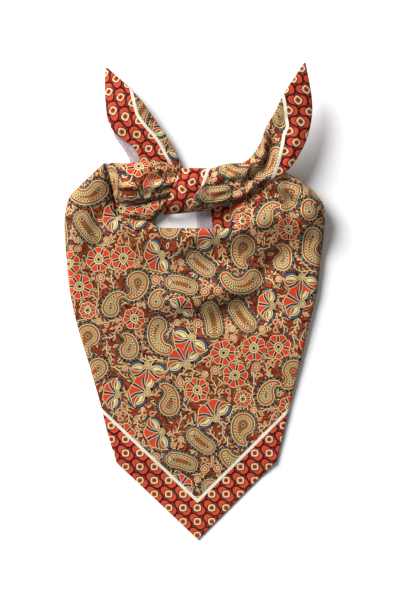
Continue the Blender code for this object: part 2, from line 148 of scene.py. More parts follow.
TAIL_LEFT_BACK = (
    Section(-52.6, 112.0, 2.9, -40.0, 112.0, 2.8, 0.0),
    Section(-54.6, 118.0, 4.0, -42.0, 121.0, 3.8, 0.0),
    Section(-59.2, 125.6, 5.0, -48.0, 130.0, 4.8, 0.3),
    Section(-65.6, 134.4, 6.2, -56.0, 139.0, 6.0, 0.3),
    Section(-67.4, 140.0, 6.8, -62.0, 143.0, 6.6, 0.1),
)
BAND_CORE = (
    Section(-63.0, 104.5, 4.5, -59.5, 84.0, 4.5, 3.0),
    Section(-50.0, 104.5, 4.5, -47.0, 84.5, 4.5, 8.0),
    Section(-34.0, 104.5, 4.5, -33.0, 87.0, 4.5, 8.0),
    Section(-18.0, 103.5, 4.5, -18.0, 91.5, 4.5, 6.5),
    Section(-6.0, 103.0, 4.5, -6.0, 84.0, 4.5, 8.5),
    Section(6.0, 103.0, 4.5, 6.0, 82.0, 4.5, 8.5),
    Section(20.0, 104.0, 4.5, 22.0, 84.0, 4.5, 8.0),
    Section(34.0, 106.5, 5.0, 36.0, 89.0, 6.0, 7.5),
    Section(44.0, 111.0, 5.5, 46.0, 98.0, 7.0, 4.0),
)
INNER_NECK = (
    Section(13.0, 77.5, 2.5, 14.8, 57.6, 2.5, 0.0),
    Section(24.0, 77.5, 2.5, 24.0, 57.6, 2.5, 0.0),
    Section(33.5, 77.5, 2.5, 33.5, 57.6, 2.5, 0.0),
)

Crease = namedtuple("Crease", "x1 y1 x2 y2 width depth")
# soft ridges (depth above 0) and troughs (below 0), from end to end
PANEL_CREASES = (
    Crease(60, 98, 99, 78, 5.0, 2.2),          # ridge below the right tail
    Crease(58, 92, 97, 66, 4.4, -3.4),         # valley below it
    Crease(104, 76, -20, 47, 8.5, 4.4),        # long ridge out of the right shoulder
    Crease(108, 42, -26, 30, 9.5, -3.4),       # its valley
    Crease(72, 36, 24, -20, 9.0, -4.2),         # valley slanting across the middle
    Crease(66, 13, -30, -2, 8.0, 3.4),         # second long ridge
    Crease(66, -9, -36, -24, 8.5, -3.3),       # its valley
    Crease(-84, 96, -90, 40, 8.0, 1.6),        # left shoulder
    Crease(-77, 84, -84, 34, 5.5, -1.8),
    Crease(-66, 60, -40, 22, 8.5, 1.5),
    # smaller ones
    Crease(-70, 108, -67, 68, 4.6, -4.6),
    Crease(61, 100, 43, 77, 3.2, -2.4),
    Crease(76, 101, 80, 68, 3.4, -2.0),
    Crease(70, 98, 71, 70, 2.8, 1.2),
    Crease(104, 51, 54, 48, 4.6, -2.2),
    Crease(62, 30, 50, -6, 4.8, -1.9),
    Crease(86, 24, 96, -10, 4.4, -1.2),
    Crease(62, 96, 92, 84, 2.6, 1.3),
    Crease(66, 90, 96, 72, 2.4, -1.2),
    Crease(44, 80, 50, 50, 4.0, -1.6),
    Crease(38, 72, 36, 46, 4.2, 1.3),
    Crease(100, 62, 84, 34, 4.6, -1.5),
    Crease(74, 52, 54, 42, 4.4, 1.3),
    Crease(-54, 58, -30, 34, 4.4, -1.1),
    Crease(-98, 66, -100, 20, 4.0, 0.9),
    Crease(-92, 22, -66, -34, 6.5, 0.9),
    Crease(-84, 12, -52, -40, 5.5, -0.9),
    Crease(-26, 46, -8, 14, 5.0, 0.8),
    Crease(6, 52, -14, 24, 4.6, -0.8),
    Crease(-10, -8, -40, -44, 5.0, -0.7),
    Crease(66, -8, 44, -58, 6.0, 0.9),
    Crease(88, -2, 70, -46, 5.0, -0.8),
    Crease(52, -50, 24, -92, 6.0, -0.6),
    Crease(-62, -44, -34, -92, 6.0, 0.6),
    Crease(-20, -66, -2, -110, 5.0, -0.4),
)
BAND_UPPER_CREASES = (
    Crease(-69, 106, -50, 98, 2.6, -2.2),
    Crease(-66, 100, -46, 93, 2.8, 1.6),
    Crease(-64, 90, -40, 88, 2.6, -1.8),
    Crease(-16, 102, -38, 98, 2.4, -2.3),
    Crease(-18, 107, -44, 108, 3.0, 1.6),
    Crease(-17, 97, -36, 92, 2.2, 1.8),
    Crease(-18, 93, -44, 84, 2.2, -2.2),
    Crease(-22, 90, -46, 82, 2.0, 1.2),
    Crease(-40, 112, -54, 104, 2.4, -1.2),
)
BAND_LOWER_CREASES = (
    Crease(-22, 84, -44, 73, 1.8, -1.3),
    Crease(-26, 80, -56, 70, 1.7, 0.9),
    Crease(-34, 76, -60, 74, 1.5, -0.8),
)
STRIP_CREASES = (
    Crease(15, 108, 10, 84, 2.4, -1.3),
    Crease(14, 100, 38, 104, 3.0, 1.2),
    Crease(13, 92, 36, 96, 3.0, -1.8),
    Crease(18, 84, 44, 94, 2.6, -2.8),
    Crease(24, 110, 44, 112, 2.4, -1.1),
    Crease(40, 97, 60, 110, 3.2, -4.0),        # the valley up into the tail
    Crease(56, 104, 65, 134, 3.0, -3.6),
    Crease(63, 130, 74, 150, 2.6, -1.6),
    Crease(50, 106, 58, 134, 3.2, 2.0),
    Crease(30, 102, 48, 112, 3.4, 1.4),
    Crease(62, 100, 72, 130, 2.2, 1.2),
    Crease(74, 112, 84, 138, 3.0, 0.9),
    Crease(-6, 104, -12, 82, 3.0, 0.7),
    Crease(4, 104, 0, 84, 2.6, -0.8),
    Crease(46, 99, 66, 126, 1.7, -2.2),
    Crease(30, 98, 54, 101, 1.8, -2.0),
    Crease(20, 99, 33, 90, 1.6, -1.4),
    Crease(28, 108, 21, 94, 1.5, -1.2),
    Crease(36, 109, 50, 117, 1.6, -1.6),
    Crease(42, 106, 58, 122, 1.6, 1.3),
    Crease(58, 116, 64, 144, 1.6, -1.7),
)
TAIL_LEFT_CREASES = (
    Crease(-58, 140, -34, 122, 2.6, -1.2),
    Crease(-50, 132, -20, 114, 2.8, 0.9),
    Crease(-62, 152, -30, 128, 3.0, 0.9),
    Crease(-70, 166, -48, 150, 3.0, -0.7),
)


# ===================================================================== curves
def smooth_rows(rows, u):
    pts = np.array(rows, dtype=float)
    n = len(pts) - 1
    u = np.clip(np.asarray(u, dtype=float), 0.0, n)
    i = np.minimum(u.astype(int), n - 1)
    f = (u - i)[:, None]
    p0, p1 = pts[np.maximum(i - 1, 0)], pts[i]
    p2, p3 = pts[i + 1], pts[np.minimum(i + 2, n)]
    return 0.5 * (2 * p1 + (p2 - p0) * f + (2 * p0 - 5 * p1 + 4 * p2 - p3) * f ** 2
                  + (3 * p1 - p0 - 3 * p2 + p3) * f ** 3)


def along(points, fraction):
    """A rounded polyline at fractions of its length."""
    pts = np.array(points, dtype=float)
    dense = smooth_rows(pts, np.linspace(0.0, len(pts) - 1.0, 40 * len(pts)))
    step = np.linalg.norm(np.diff(dense[:, :2], axis=0), axis=1)
    length = np.concatenate([[0.0], np.cumsum(step)])
    f = np.asarray(fraction, dtype=float) * length[-1]
    return np.stack([np.interp(f, length, dense[:, k]) for k in range(pts.shape[1])], axis=-1)


def quarter_round(distance, width):
    q = np.clip(distance / width, 0.0, 1.0)
    return np.sqrt(np.maximum(0.0, 1.0 - (1.0 - q) ** 2))


def ease(q):
    q = np.clip(q, 0.0, 1.0)
    return q * q * (3.0 - 2.0 * q)


def crease_height(creases, x, y):
    """Sum of the soft ridges and troughs at plan points, fading at their ends."""
    z = np.zeros_like(x)
    for k, c in enumerate(creases):
        dx, dy = c.x2 - c.x1, c.y2 - c.y1
        length = math.hypot(dx, dy)
        ux, uy = dx / length, dy / length
        a = (x - c.x1) * ux + (y - c.y1) * uy
        b = -(x - c.x1) * uy + (y - c.y1) * ux
        # each fold wanders a little and widens along its length
        b = b + 0.9 * np.sin(a * 0.11 + k * 1.7) * (c.width / 5.0)
        w = c.width * (0.8 + 0.5 * np.clip(a / length, 0.0, 1.0))
        end = ease((a + 0.25 * length) / (0.4 * length)) * ease((1.25 * length - a) / (0.45 * length))
        side = np.where(b > 0, b / w, b / (w * 1.25))
        z = z + c.depth * end * np.exp(-side ** 2)
    return z


def ripple(x, y, seed, amount):
    """Slow uneven waviness of limp cloth."""
    z = np.zeros_like(x)
    rng = np.random.RandomState(seed)
    for wave in (46.0, 31.0, 21.0, 14.5, 10.0):
        ang = rng.uniform(0, 2 * math.pi)
        ph = rng.uniform(0, 2 * math.pi)
        bend = 0.35 * np.sin(0.06 * (x * math.sin(ang) - y * math.cos(ang)) + ph * 2)
        z = z + (wave / 46.0) ** 0.8 * np.sin(2 * math.pi * (x * math.cos(ang) + y * math.sin(ang)) / wave + ph + bend)
    return amount * z / 2.2


# ================================================================ panel shape
def side_x(table, y):
    rows = table[::-1]
    ys = np.array([r.y for r in rows])
    dense = smooth_rows([(r.y, r.x) for r in rows], np.linspace(0, len(rows) - 1, 30 * len(rows)))
    return np.interp(y, dense[:, 0], dense[:, 1])


def panel_height(x, y):
    rows = PANEL_RISE[::-1]
    ys = [r.y for r in rows]
    left = np.interp(y, ys, [r.left for r in rows])
    mid = np.interp(y, ys, [r.mid for r in rows])
    right = np.interp(y, ys, [r.right for r in rows])
    xl, xr = side_x(LEFT_SIDE, y), side_x(RIGHT_SIDE, y)
    u = (2.0 * x - xl - xr) / (xr - xl)
    return mid + (left - mid) * ease(-u) + (right - mid) * ease(u)


def panel_plan(s, t):
    """Plan points for s (rows) and a t for each row and column."""
    neck = np.array([(n.x, n.y, n.drop) for n in NECKLINE])
    n0, n1 = neck[0, :2], neck[-1, :2]
    tx = n0[0] + (n1[0] - n0[0]) * t
    ty = np.interp(tx, neck[:, 0], neck[:, 1])
    drop = np.interp(tx, neck[:, 0], neck[:, 2])
    top = np.stack([tx, ty], axis=-1)
    left = along([(e.x, e.y) for e in LEFT_SIDE], s)
    right = along([(e.x, e.y) for e in RIGHT_SIDE], s)
    corner = np.array([POINT.x, POINT.y])
    a = np.array([LEFT_SIDE[-1].x, LEFT_SIDE[-1].y])
    b = np.array([RIGHT_SIDE[-1].x, RIGHT_SIDE[-1].y])
    q = np.clip(2.0 * t, 0.0, 1.0)[..., None]
    r = np.clip(2.0 * t - 1.0, 0.0, 1.0)[..., None]
    bottom = a + (corner - a) * q + (b - corner) * r
    S, T = s[:, None, None], t[..., None]
    plan = ((1 - T) * left[:, None] + T * right[:, None]
            + (1 - S) ** 2 * (top - n0 - (n1 - n0) * T)
            + S ** 2 * (bottom - a - (b - a) * T))
    return plan, top, drop


def panel_surface(s, t, lower=0.0):
    """Upper face of the panel with its rolled edges."""
    plan, top, drop = panel_plan(s, t)
    x, y = plan[..., 0], plan[..., 1]
    z = panel_height(x, y)
    calm = ease((y + 150.0) / 40.0)
    z = z + crease_height(PANEL_CREASES, x, y) * (0.25 + 0.75 * calm)
    z = z + ripple(x, y, 4, 0.42) * (0.18 + 0.82 * calm)
    z = np.maximum(z, 1.2)
    xl, xr = side_x(LEFT_SIDE, y), side_x(RIGHT_SIDE, y)
    tuck = ease((y + 141.0) / 9.0)
    zc = 0.5 * z
    width = roll_width(z)
    edge = quarter_round(np.maximum(x - xl, 0.0), width)
    edge = edge * quarter_round(np.maximum(xr - x, 0.0), width)
    z_roll = zc + (z - zc) * edge
    z = z + (z_roll - z) * tuck
    from_neck = np.linalg.norm(plan - top, axis=-1)
    z = z - drop * (1.0 - quarter_round(from_neck, 5.0))
    z = z - 0.8 * (1.0 - quarter_round(from_neck, 0.9))
    return np.stack([x, y, np.maximum(z - lower, 0.05)], axis=-1)


def roll_width(z):
    return np.maximum(1.6, 0.62 * (z - 1.0))


# ================================================================ print chart
# The field print repeats on a half-drop tile.  Every motif has a straight or
# curved spine; a point's place along and beside the spine is what the print
# material draws from.  kind: 1 paisley, 2 rosette, 3 palmette, 4 bean, 5 bud
TILE_X, TILE_Y = 128.0, 146.0
Form = namedtuple("Form", "kind tail length bend bend_more")
FORMS = {
    "paisley": Form(1, 0.20, 1.95, 0.34, 0.62),
    "slim_paisley": Form(1, 0.20, 2.60, 0.22, 0.42),
    "long_paisley": Form(1, 0.62, 3.70, 0.50, 0.04),
    "bean": Form(4, 1.00, 2.45, 0.16, 0.0),
    "rosette": Form(2, 0.20, 1.35, 0.0, 0.0),
    "palmette": Form(3, 0.20, 1.10, 0.0, 0.0),
    "bud": Form(5, 0.12, 1.90, 0.18, 0.0),
}
Part = namedtuple("Part", "form dx dy turn flip size")
# large motifs, some of them grouped, then the small ones that fill in
GROUPS = (
    (Part("bean", -10.4, 0.5, 0, 1, 6.6), Part("bean", 10.4, -7.2, 0, -1, 6.6)),
    (Part("long_paisley", 0, 0, 0, -1, 7.6),),
    (Part("palmette", -11.4, 2.0, -58, 1, 4.6), Part("palmette", 11.4, -2.0, 62, 1, 4.6)),
    (Part("rosette", -9.6, -3.6, 20, 1, 3.35), Part("rosette", 9.6, 4.2, 200, 1, 3.35)),
    (Part("paisley", 0, 0, 0, 1, 9.4),),
    (Part("palmette", -11.0, 3.0, -46, 1, 4.4), Part("palmette", 11.0, -3.0, 70, 1, 4.4)),
    (Part("long_paisley", 0, 0, 0, 1, 7.0),),
    (Part("rosette", -9.4, -3.0, 20, 1, 3.3), Part("rosette", 9.4, 4.4, 200, 1, 3.3)),
    (Part("bean", -9.8, 0.5, 0, 1, 6.0), Part("bean", 9.8, -5.6, 0, -1, 6.0)),
    (Part("paisley", 0, 0, 0, -1, 8.8),),
    (Part("palmette", 0, 0, 0, 1, 4.6),),
    (Part("slim_paisley", 0, 0, 0, 1, 8.2),),
    (Part("rosette", 0, 0, 0, 1, 3.2),),
    (Part("paisley", 0, 0, 0, 1, 7.6),),
    (Part("palmette", 0, 0, 0, 1, 4.3),),
    (Part("slim_paisley", 0, 0, 0, -1, 7.0),),
    (Part("rosette", 0, 0, 0, 1, 2.9),),
    (Part("palmette", 0, 0, 0, 1, 3.8),),
    (Part("paisley", 0, 0, 0, -1, 6.2),),
    (Part("palmette", 0, 0, 0, 1, 3.3),),
    (Part("rosette", 0, 0, 0, 1, 2.3),),
    (Part("paisley", 0, 0, 0, 1, 4.8),),
)
SMALL = tuple((Part("rosette", 0, 0, 0, 1, 1.2),) for _ in range(7)) + \
    tuple((Part("bud", 0, 0, 0, 1 if i % 2 else -1, 2.2),) for i in range(12)) + \
    tuple((Part("rosette", 0, 0, 0, 1, 0.9),) for _ in range(9)) + \
    tuple((Part("bud", 0, 0, 0, 1 if i % 2 else -1, 1.5),) for i in range(14))


class Spine:
    """A curved line starting at the origin towards +y."""

    def __init__(self, length, bend, bend_more, wave=0.0, period=1.0, step=0.05):
        n = max(2, int(length / step) + 1)
        self.q = np.linspace(0.0, length, n)
        self.k = bend + bend_more * self.q + wave * np.cos(2 * math.pi * self.q / period)
        dq = self.q[1]
        head = math.pi / 2 + np.concatenate([[0.0], np.cumsum(0.5 * (self.k[1:] + self.k[:-1]) * dq)])
        self.tx, self.ty = np.cos(head), np.sin(head)
        self.x = np.concatenate([[0.0], np.cumsum(0.5 * (self.tx[1:] + self.tx[:-1]) * dq)])
        self.y = np.concatenate([[0.0], np.cumsum(0.5 * (self.ty[1:] + self.ty[:-1]) * dq)])

    def nearest(self, x, y):
        d2 = (x[..., None] - self.x) ** 2 + (y[..., None] - self.y) ** 2
        return d2.argmin(axis=-1)

    def project(self, x, y, hint=None):
        d2 = (x[..., None] - self.x) ** 2 + (y[..., None] - self.y) ** 2
        if hint is not None:
            reach = max(4, int(0.35 * len(self.q)))
            far = np.abs(np.arange(len(self.q)) - hint[..., None]) > reach
            d2 = np.where(far, 1e9, d2)
        i = d2.argmin(axis=-1)
        dx, dy = x - self.x[i], y - self.y[i]
        p = -dx * self.ty[i] + dy * self.tx[i]
        inside = (i > 0) & (i < len(self.q) - 1)
        stretch = np.where(inside, np.clip(1.0 - self.k[i] * p, 0.3, 3.0), 1.0)
        return p, self.q[i] + (dx * self.tx[i] + dy * self.ty[i]) / stretch


def capsule(p, q, a, b, h):
    """Outline distance of a tapering capsule of unit head radius."""
    x = np.abs(p)
    k = a * q - b * x
    tail = np.hypot(x, q - h) - (1.0 - b * h)
    return np.where(k < 0, np.hypot(x, q) - 1.0, np.where(k > a * h, tail, a * x + b * q - 1.0))


class Motif:
    def __init__(self, kind, x, y, size, turn, flip, spine, taper):
        self.kind, self.x, self.y, self.size = kind, x, y, size
        self.turn, self.flip, self.spine, self.taper = turn, flip, spine, taper
        self.c, self.s = math.cos(math.radians(turn)), math.sin(math.radians(turn))

    def moved(self, dx, dy):
        return Motif(self.kind, self.x + dx, self.y + dy, self.size, self.turn, self.flip,
                     self.spine, self.taper)

    def plane(self, x, y):
        dx, dy = (x - self.x) / self.size, (y - self.y) / self.size
        return (dx * self.c + dy * self.s) * self.flip, -dx * self.s + dy * self.c

    def place(self, lx, ly):
        lx = lx * self.flip
        return (self.x + (lx * self.c - ly * self.s) * self.size,
                self.y + (lx * self.s + ly * self.c) * self.size)

    def hint(self, x, y):
        lx, ly = self.plane(x, y)
        return self.spine.nearest(lx, ly)

    def local(self, x, y, hint=None):
        lx, ly = self.plane(x, y)
        if self.kind in (2, 3):
            return lx, ly
        return self.spine.project(lx, ly, hint)

    def distance(self, x, y):
        p, q = self.local(x, y)
        if self.kind == 2:
            d = np.hypot(p, q) - 3.35
        elif self.kind == 3:
            d = np.maximum(np.maximum(np.hypot(p, q) - 3.7, -1.55 - q), (np.abs(p) - 0.9 * q - 2.9) * 0.74)
        elif self.kind == 6:
            d = np.abs(p) - 2.9 + np.maximum(0.0, -q) + np.maximum(0.0, q - self.spine.q[-1])
        else:
            b = self.taper[1]
            d = capsule(p, q, *self.taper) - (2.0 / self.size if self.kind in (1, 4) else 0.1)
        return d * self.size

    def outline(self):
        """A ring of points round the motif."""
        a = np.linspace(0.0, 2 * math.pi, 24, endpoint=False)
        if self.kind == 2:
            return self.place(3.35 * np.cos(a), 3.35 * np.sin(a))
        if self.kind == 3:
            slant = np.abs(np.cos(a)) - 0.9 * np.sin(a)
            r = np.minimum(3.7, 2.9 / np.maximum(slant, 0.3))
            return self.place(r * np.cos(a), np.maximum(r * np.sin(a), -1.55))
        sp = self.spine
        i = np.linspace(0, len(sp.q) - 1, 12).astype(int)
        if self.kind == 6:
            w = np.full(12, 2.5)
        else:
            w = 1.0 - self.taper[1] * sp.q[i] + (2.0 / self.size if self.kind in (1, 4) else 0.1)
        lx = np.concatenate([sp.x[i] - w * sp.ty[i], sp.x[i] + w * sp.ty[i], w[0] * np.cos(a)])
        ly = np.concatenate([sp.y[i] + w * sp.tx[i], sp.y[i] - w * sp.tx[i], w[0] * np.sin(a)])
        if self.kind == 6:
            lx, ly = lx[:24], ly[:24]
        return self.place(lx, ly)


def make_motif(part, x, y, turn):
    form = FORMS[part.form]
    b = (1.0 - form.tail) / form.length
    a = math.sqrt(1.0 - b * b)
    c, s = math.cos(math.radians(turn)), math.sin(math.radians(turn))
    return Motif(form.kind, x + part.dx * c - part.dy * s, y + part.dx * s + part.dy * c, part.size,
                 turn + part.turn, part.flip, Spine(form.length, form.bend, form.bend_more), (a, b, form.length))


CELL = 1.0


def tile_wrap(x, y):
    """Fold any point back into the first tile of the half-drop repeat."""
    col = np.floor(x / TILE_X)
    shift = (col % 2) * TILE_Y / 2
    row = np.floor((y - shift) / TILE_Y)
    return x - col * TILE_X, y - shift - row * TILE_Y, col * TILE_X, shift + row * TILE_Y


def neighbours(m, margin=44.0):
    out = []
    for i in (-1, 0, 1):
        for j in (-2, -1, 0, 1, 2):
            dx, dy = i * TILE_X, j * TILE_Y + (i % 2) * TILE_Y / 2
            if -margin < m.x + dx < TILE_X + margin and -margin < m.y + dy < TILE_Y + margin:
                out.append(m.moved(dx, dy))
    return out


class Tile:
    """Nearest-motif map of one repeat, filled by best-fitting places."""

    def __init__(self):
        self.nx, self.ny = int(TILE_X / CELL), int(TILE_Y / CELL)
        gx = (np.arange(self.nx) + 0.5) * CELL
        gy = (np.arange(self.ny) + 0.5) * CELL
        self.gx, self.gy = np.meshgrid(gx, gy, indexing="ij")
        self.near = np.full((self.nx, self.ny), 60.0)
        self.which = np.zeros((self.nx, self.ny), dtype=int)
        self.copies = []

    def clearance(self, x, y):
        wx, wy, _, _ = tile_wrap(x, y)
        i = np.clip((wx / CELL).astype(int), 0, self.nx - 1)
        j = np.clip((wy / CELL).astype(int), 0, self.ny - 1)
        return self.near[i, j]

    def add(self, m):
        for c in neighbours(m):
            reach = 46.0
            sel = (np.abs(self.gx - c.x) < reach) & (np.abs(self.gy - c.y) < reach)
            if not sel.any():
                continue
            d = c.distance(self.gx[sel], self.gy[sel])
            better = d < self.near[sel]
            index = len(self.copies)
            self.copies.append(c)
            near, which = self.near[sel], self.which[sel]
            near[better], which[better] = d[better], index
            self.near[sel], self.which[sel] = near, which

    def fit(self, parts, rng, gap, tries, make):
        probes = [make(p, 0.0, 0.0, 0.0) for p in parts]
        ring = np.concatenate([np.stack(m.outline(), axis=-1) for m in probes])
        x = rng.uniform(0, TILE_X, tries)
        y = rng.uniform(0, TILE_Y, tries)
        turn = rng.uniform(0, 360, tries)
        c, s = np.cos(np.radians(turn)), np.sin(np.radians(turn))
        px = x[:, None] + ring[:, 0] * c[:, None] - ring[:, 1] * s[:, None]
        py = y[:, None] + ring[:, 0] * s[:, None] + ring[:, 1] * c[:, None]
        room = self.clearance(px, py).min(axis=1)
        ok = room >= gap
        if not ok.any():
            return False
        score = np.where(ok, room, 1e9)
        k = int(score.argmin())
        for p in parts:
            self.add(make(p, x[k], y[k], turn[k]))
        return True


def make_vine(part, x, y, turn):
    c, s = math.cos(math.radians(turn)), math.sin(math.radians(turn))
    sp = Spine(part.dx, 0.0, 0.0, wave=part.dy, period=part.dx * 0.95, step=0.5)
    return Motif(6, x, y, 1.0, turn, part.flip, sp, (1.0, 0.0, part.dx))


rng_print = np.random.RandomState(23)
MOTIFS = Tile()
for group in GROUPS:
    MOTIFS.fit(group, rng_print, 0.9, 9000, make_motif)
for group in SMALL:
    MOTIFS.fit(group, rng_print, 0.25, 1500, make_motif)
VINES = Tile()
for n_vine in range(76):
    span = (26.0, 20.0, 14.0)[min(2, n_vine // 24)]
    VINES.fit((Part("vine", span, 0.16 if n_vine % 3 else 0.24, 0, 1 if n_vine % 2 else -1, 1.0),),
              rng_print, 0.3, 1200, make_vine)

LEAF = 7.0


def leaf_lookup(fx, fy):
    """Nearest point of a jittered grid, with a turn and a tint for each."""
    ci, cj = np.floor(fx / LEAF).astype(int), np.floor(fy / LEAF).astype(int)
    best = np.full(fx.shape, 1e9)
    out = np.zeros(fx.shape + (4,))
    for di in (-1, 0, 1):
        for dj in (-1, 0, 1):
            i, j = ci + di, cj + dj
            h = (np.sin(i * 127.1 + j * 311.7) * 43758.5453) % 1.0
            g = (np.sin(i * 269.5 + j * 183.3) * 24634.6345) % 1.0
            r = (np.sin(i * 419.2 + j * 371.9) * 35412.1234) % 1.0
            x, y = (i + 0.2 + 0.6 * h) * LEAF, (j + 0.2 + 0.6 * g) * LEAF
            d = (fx - x) ** 2 + (fy - y) ** 2
            hit = d < best
            best = np.where(hit, d, best)
            vals = np.stack([x, y, r * 2 * math.pi, (h * 7.13 + g * 3.7 + r * 1.9) % 1.0], axis=-1)
            out = np.where(hit[..., None], vals, out)
    return out


def print_frames(tile, f, centre):
    """Place beside and along the nearest motif's spine at each face corner."""
    wx, wy, bx, by = tile_wrap(centre[:, 0], centre[:, 1])
    i = np.clip((wx / CELL).astype(int), 0, tile.nx - 1)
    j = np.clip((wy / CELL).astype(int), 0, tile.ny - 1)
    which = tile.which[i, j]
    local = np.zeros((len(f), 4, 3))
    shape = np.zeros((len(f), 4, 3))
    for k in np.unique(which):
        m = tile.copies[k]
        sel = np.flatnonzero(which == k)
        cx, cy = f[sel][..., 0] - bx[sel][:, None], f[sel][..., 1] - by[sel][:, None]
        hint = m.hint(wx[sel], wy[sel])
        p, q = m.local(cx, cy, np.repeat(hint[:, None], 4, axis=1))
        local[sel] = np.stack([p, q, np.full_like(p, m.kind + m.size * 0.01)], axis=-1)
        shape[sel] = m.taper
    return local, shape


# ============================================================== mesh building
# the cut of each stretch that shows, in metres: the smallest rectangle round
# it in the flat cloth, and its own area
Cut = namedtuple("Cut", "width length area held rests")
CUTS = {
    "cloth_panel": Cut(0.502, 0.319, 0.0826, "folded", ("cloth_back_layer",)),
    "cloth_back_layer": Cut(0.200, 0.290, 0.0393, "folded", ("cloth_panel",)),
    "cloth_band_upper": Cut(0.066, 0.046, 0.0028, "gathered", ("cloth_band_core",)),
    "cloth_band_lower": Cut(0.0435, 0.023, 0.00064, "gathered", ("cloth_panel",)),
    "cloth_knot_strip": Cut(0.177, 0.054, 0.0066, "gathered", ("cloth_band_core", "cloth_panel")),
    "cloth_tail_left": Cut(0.102, 0.035, 0.0025, "laid", ("cloth_tail_left_back",)),
    "cloth_tail_left_back": Cut(0.0375, 0.013, 0.00041, "folded", ()),
    "cloth_inner_neck": Cut(0.0205, 0.020, 0.00041, "laid", ()),
    "cloth_band_core": Cut(0.1085, 0.031, 0.0028, "gathered", ()),
}


def grid_normals(grid):
    du = np.gradient(grid, axis=0)
    dv = np.gradient(grid, axis=1)
    n = np.cross(du, dv)
    length = np.linalg.norm(n, axis=-1, keepdims=True)
    return n / np.maximum(length, 1e-9)


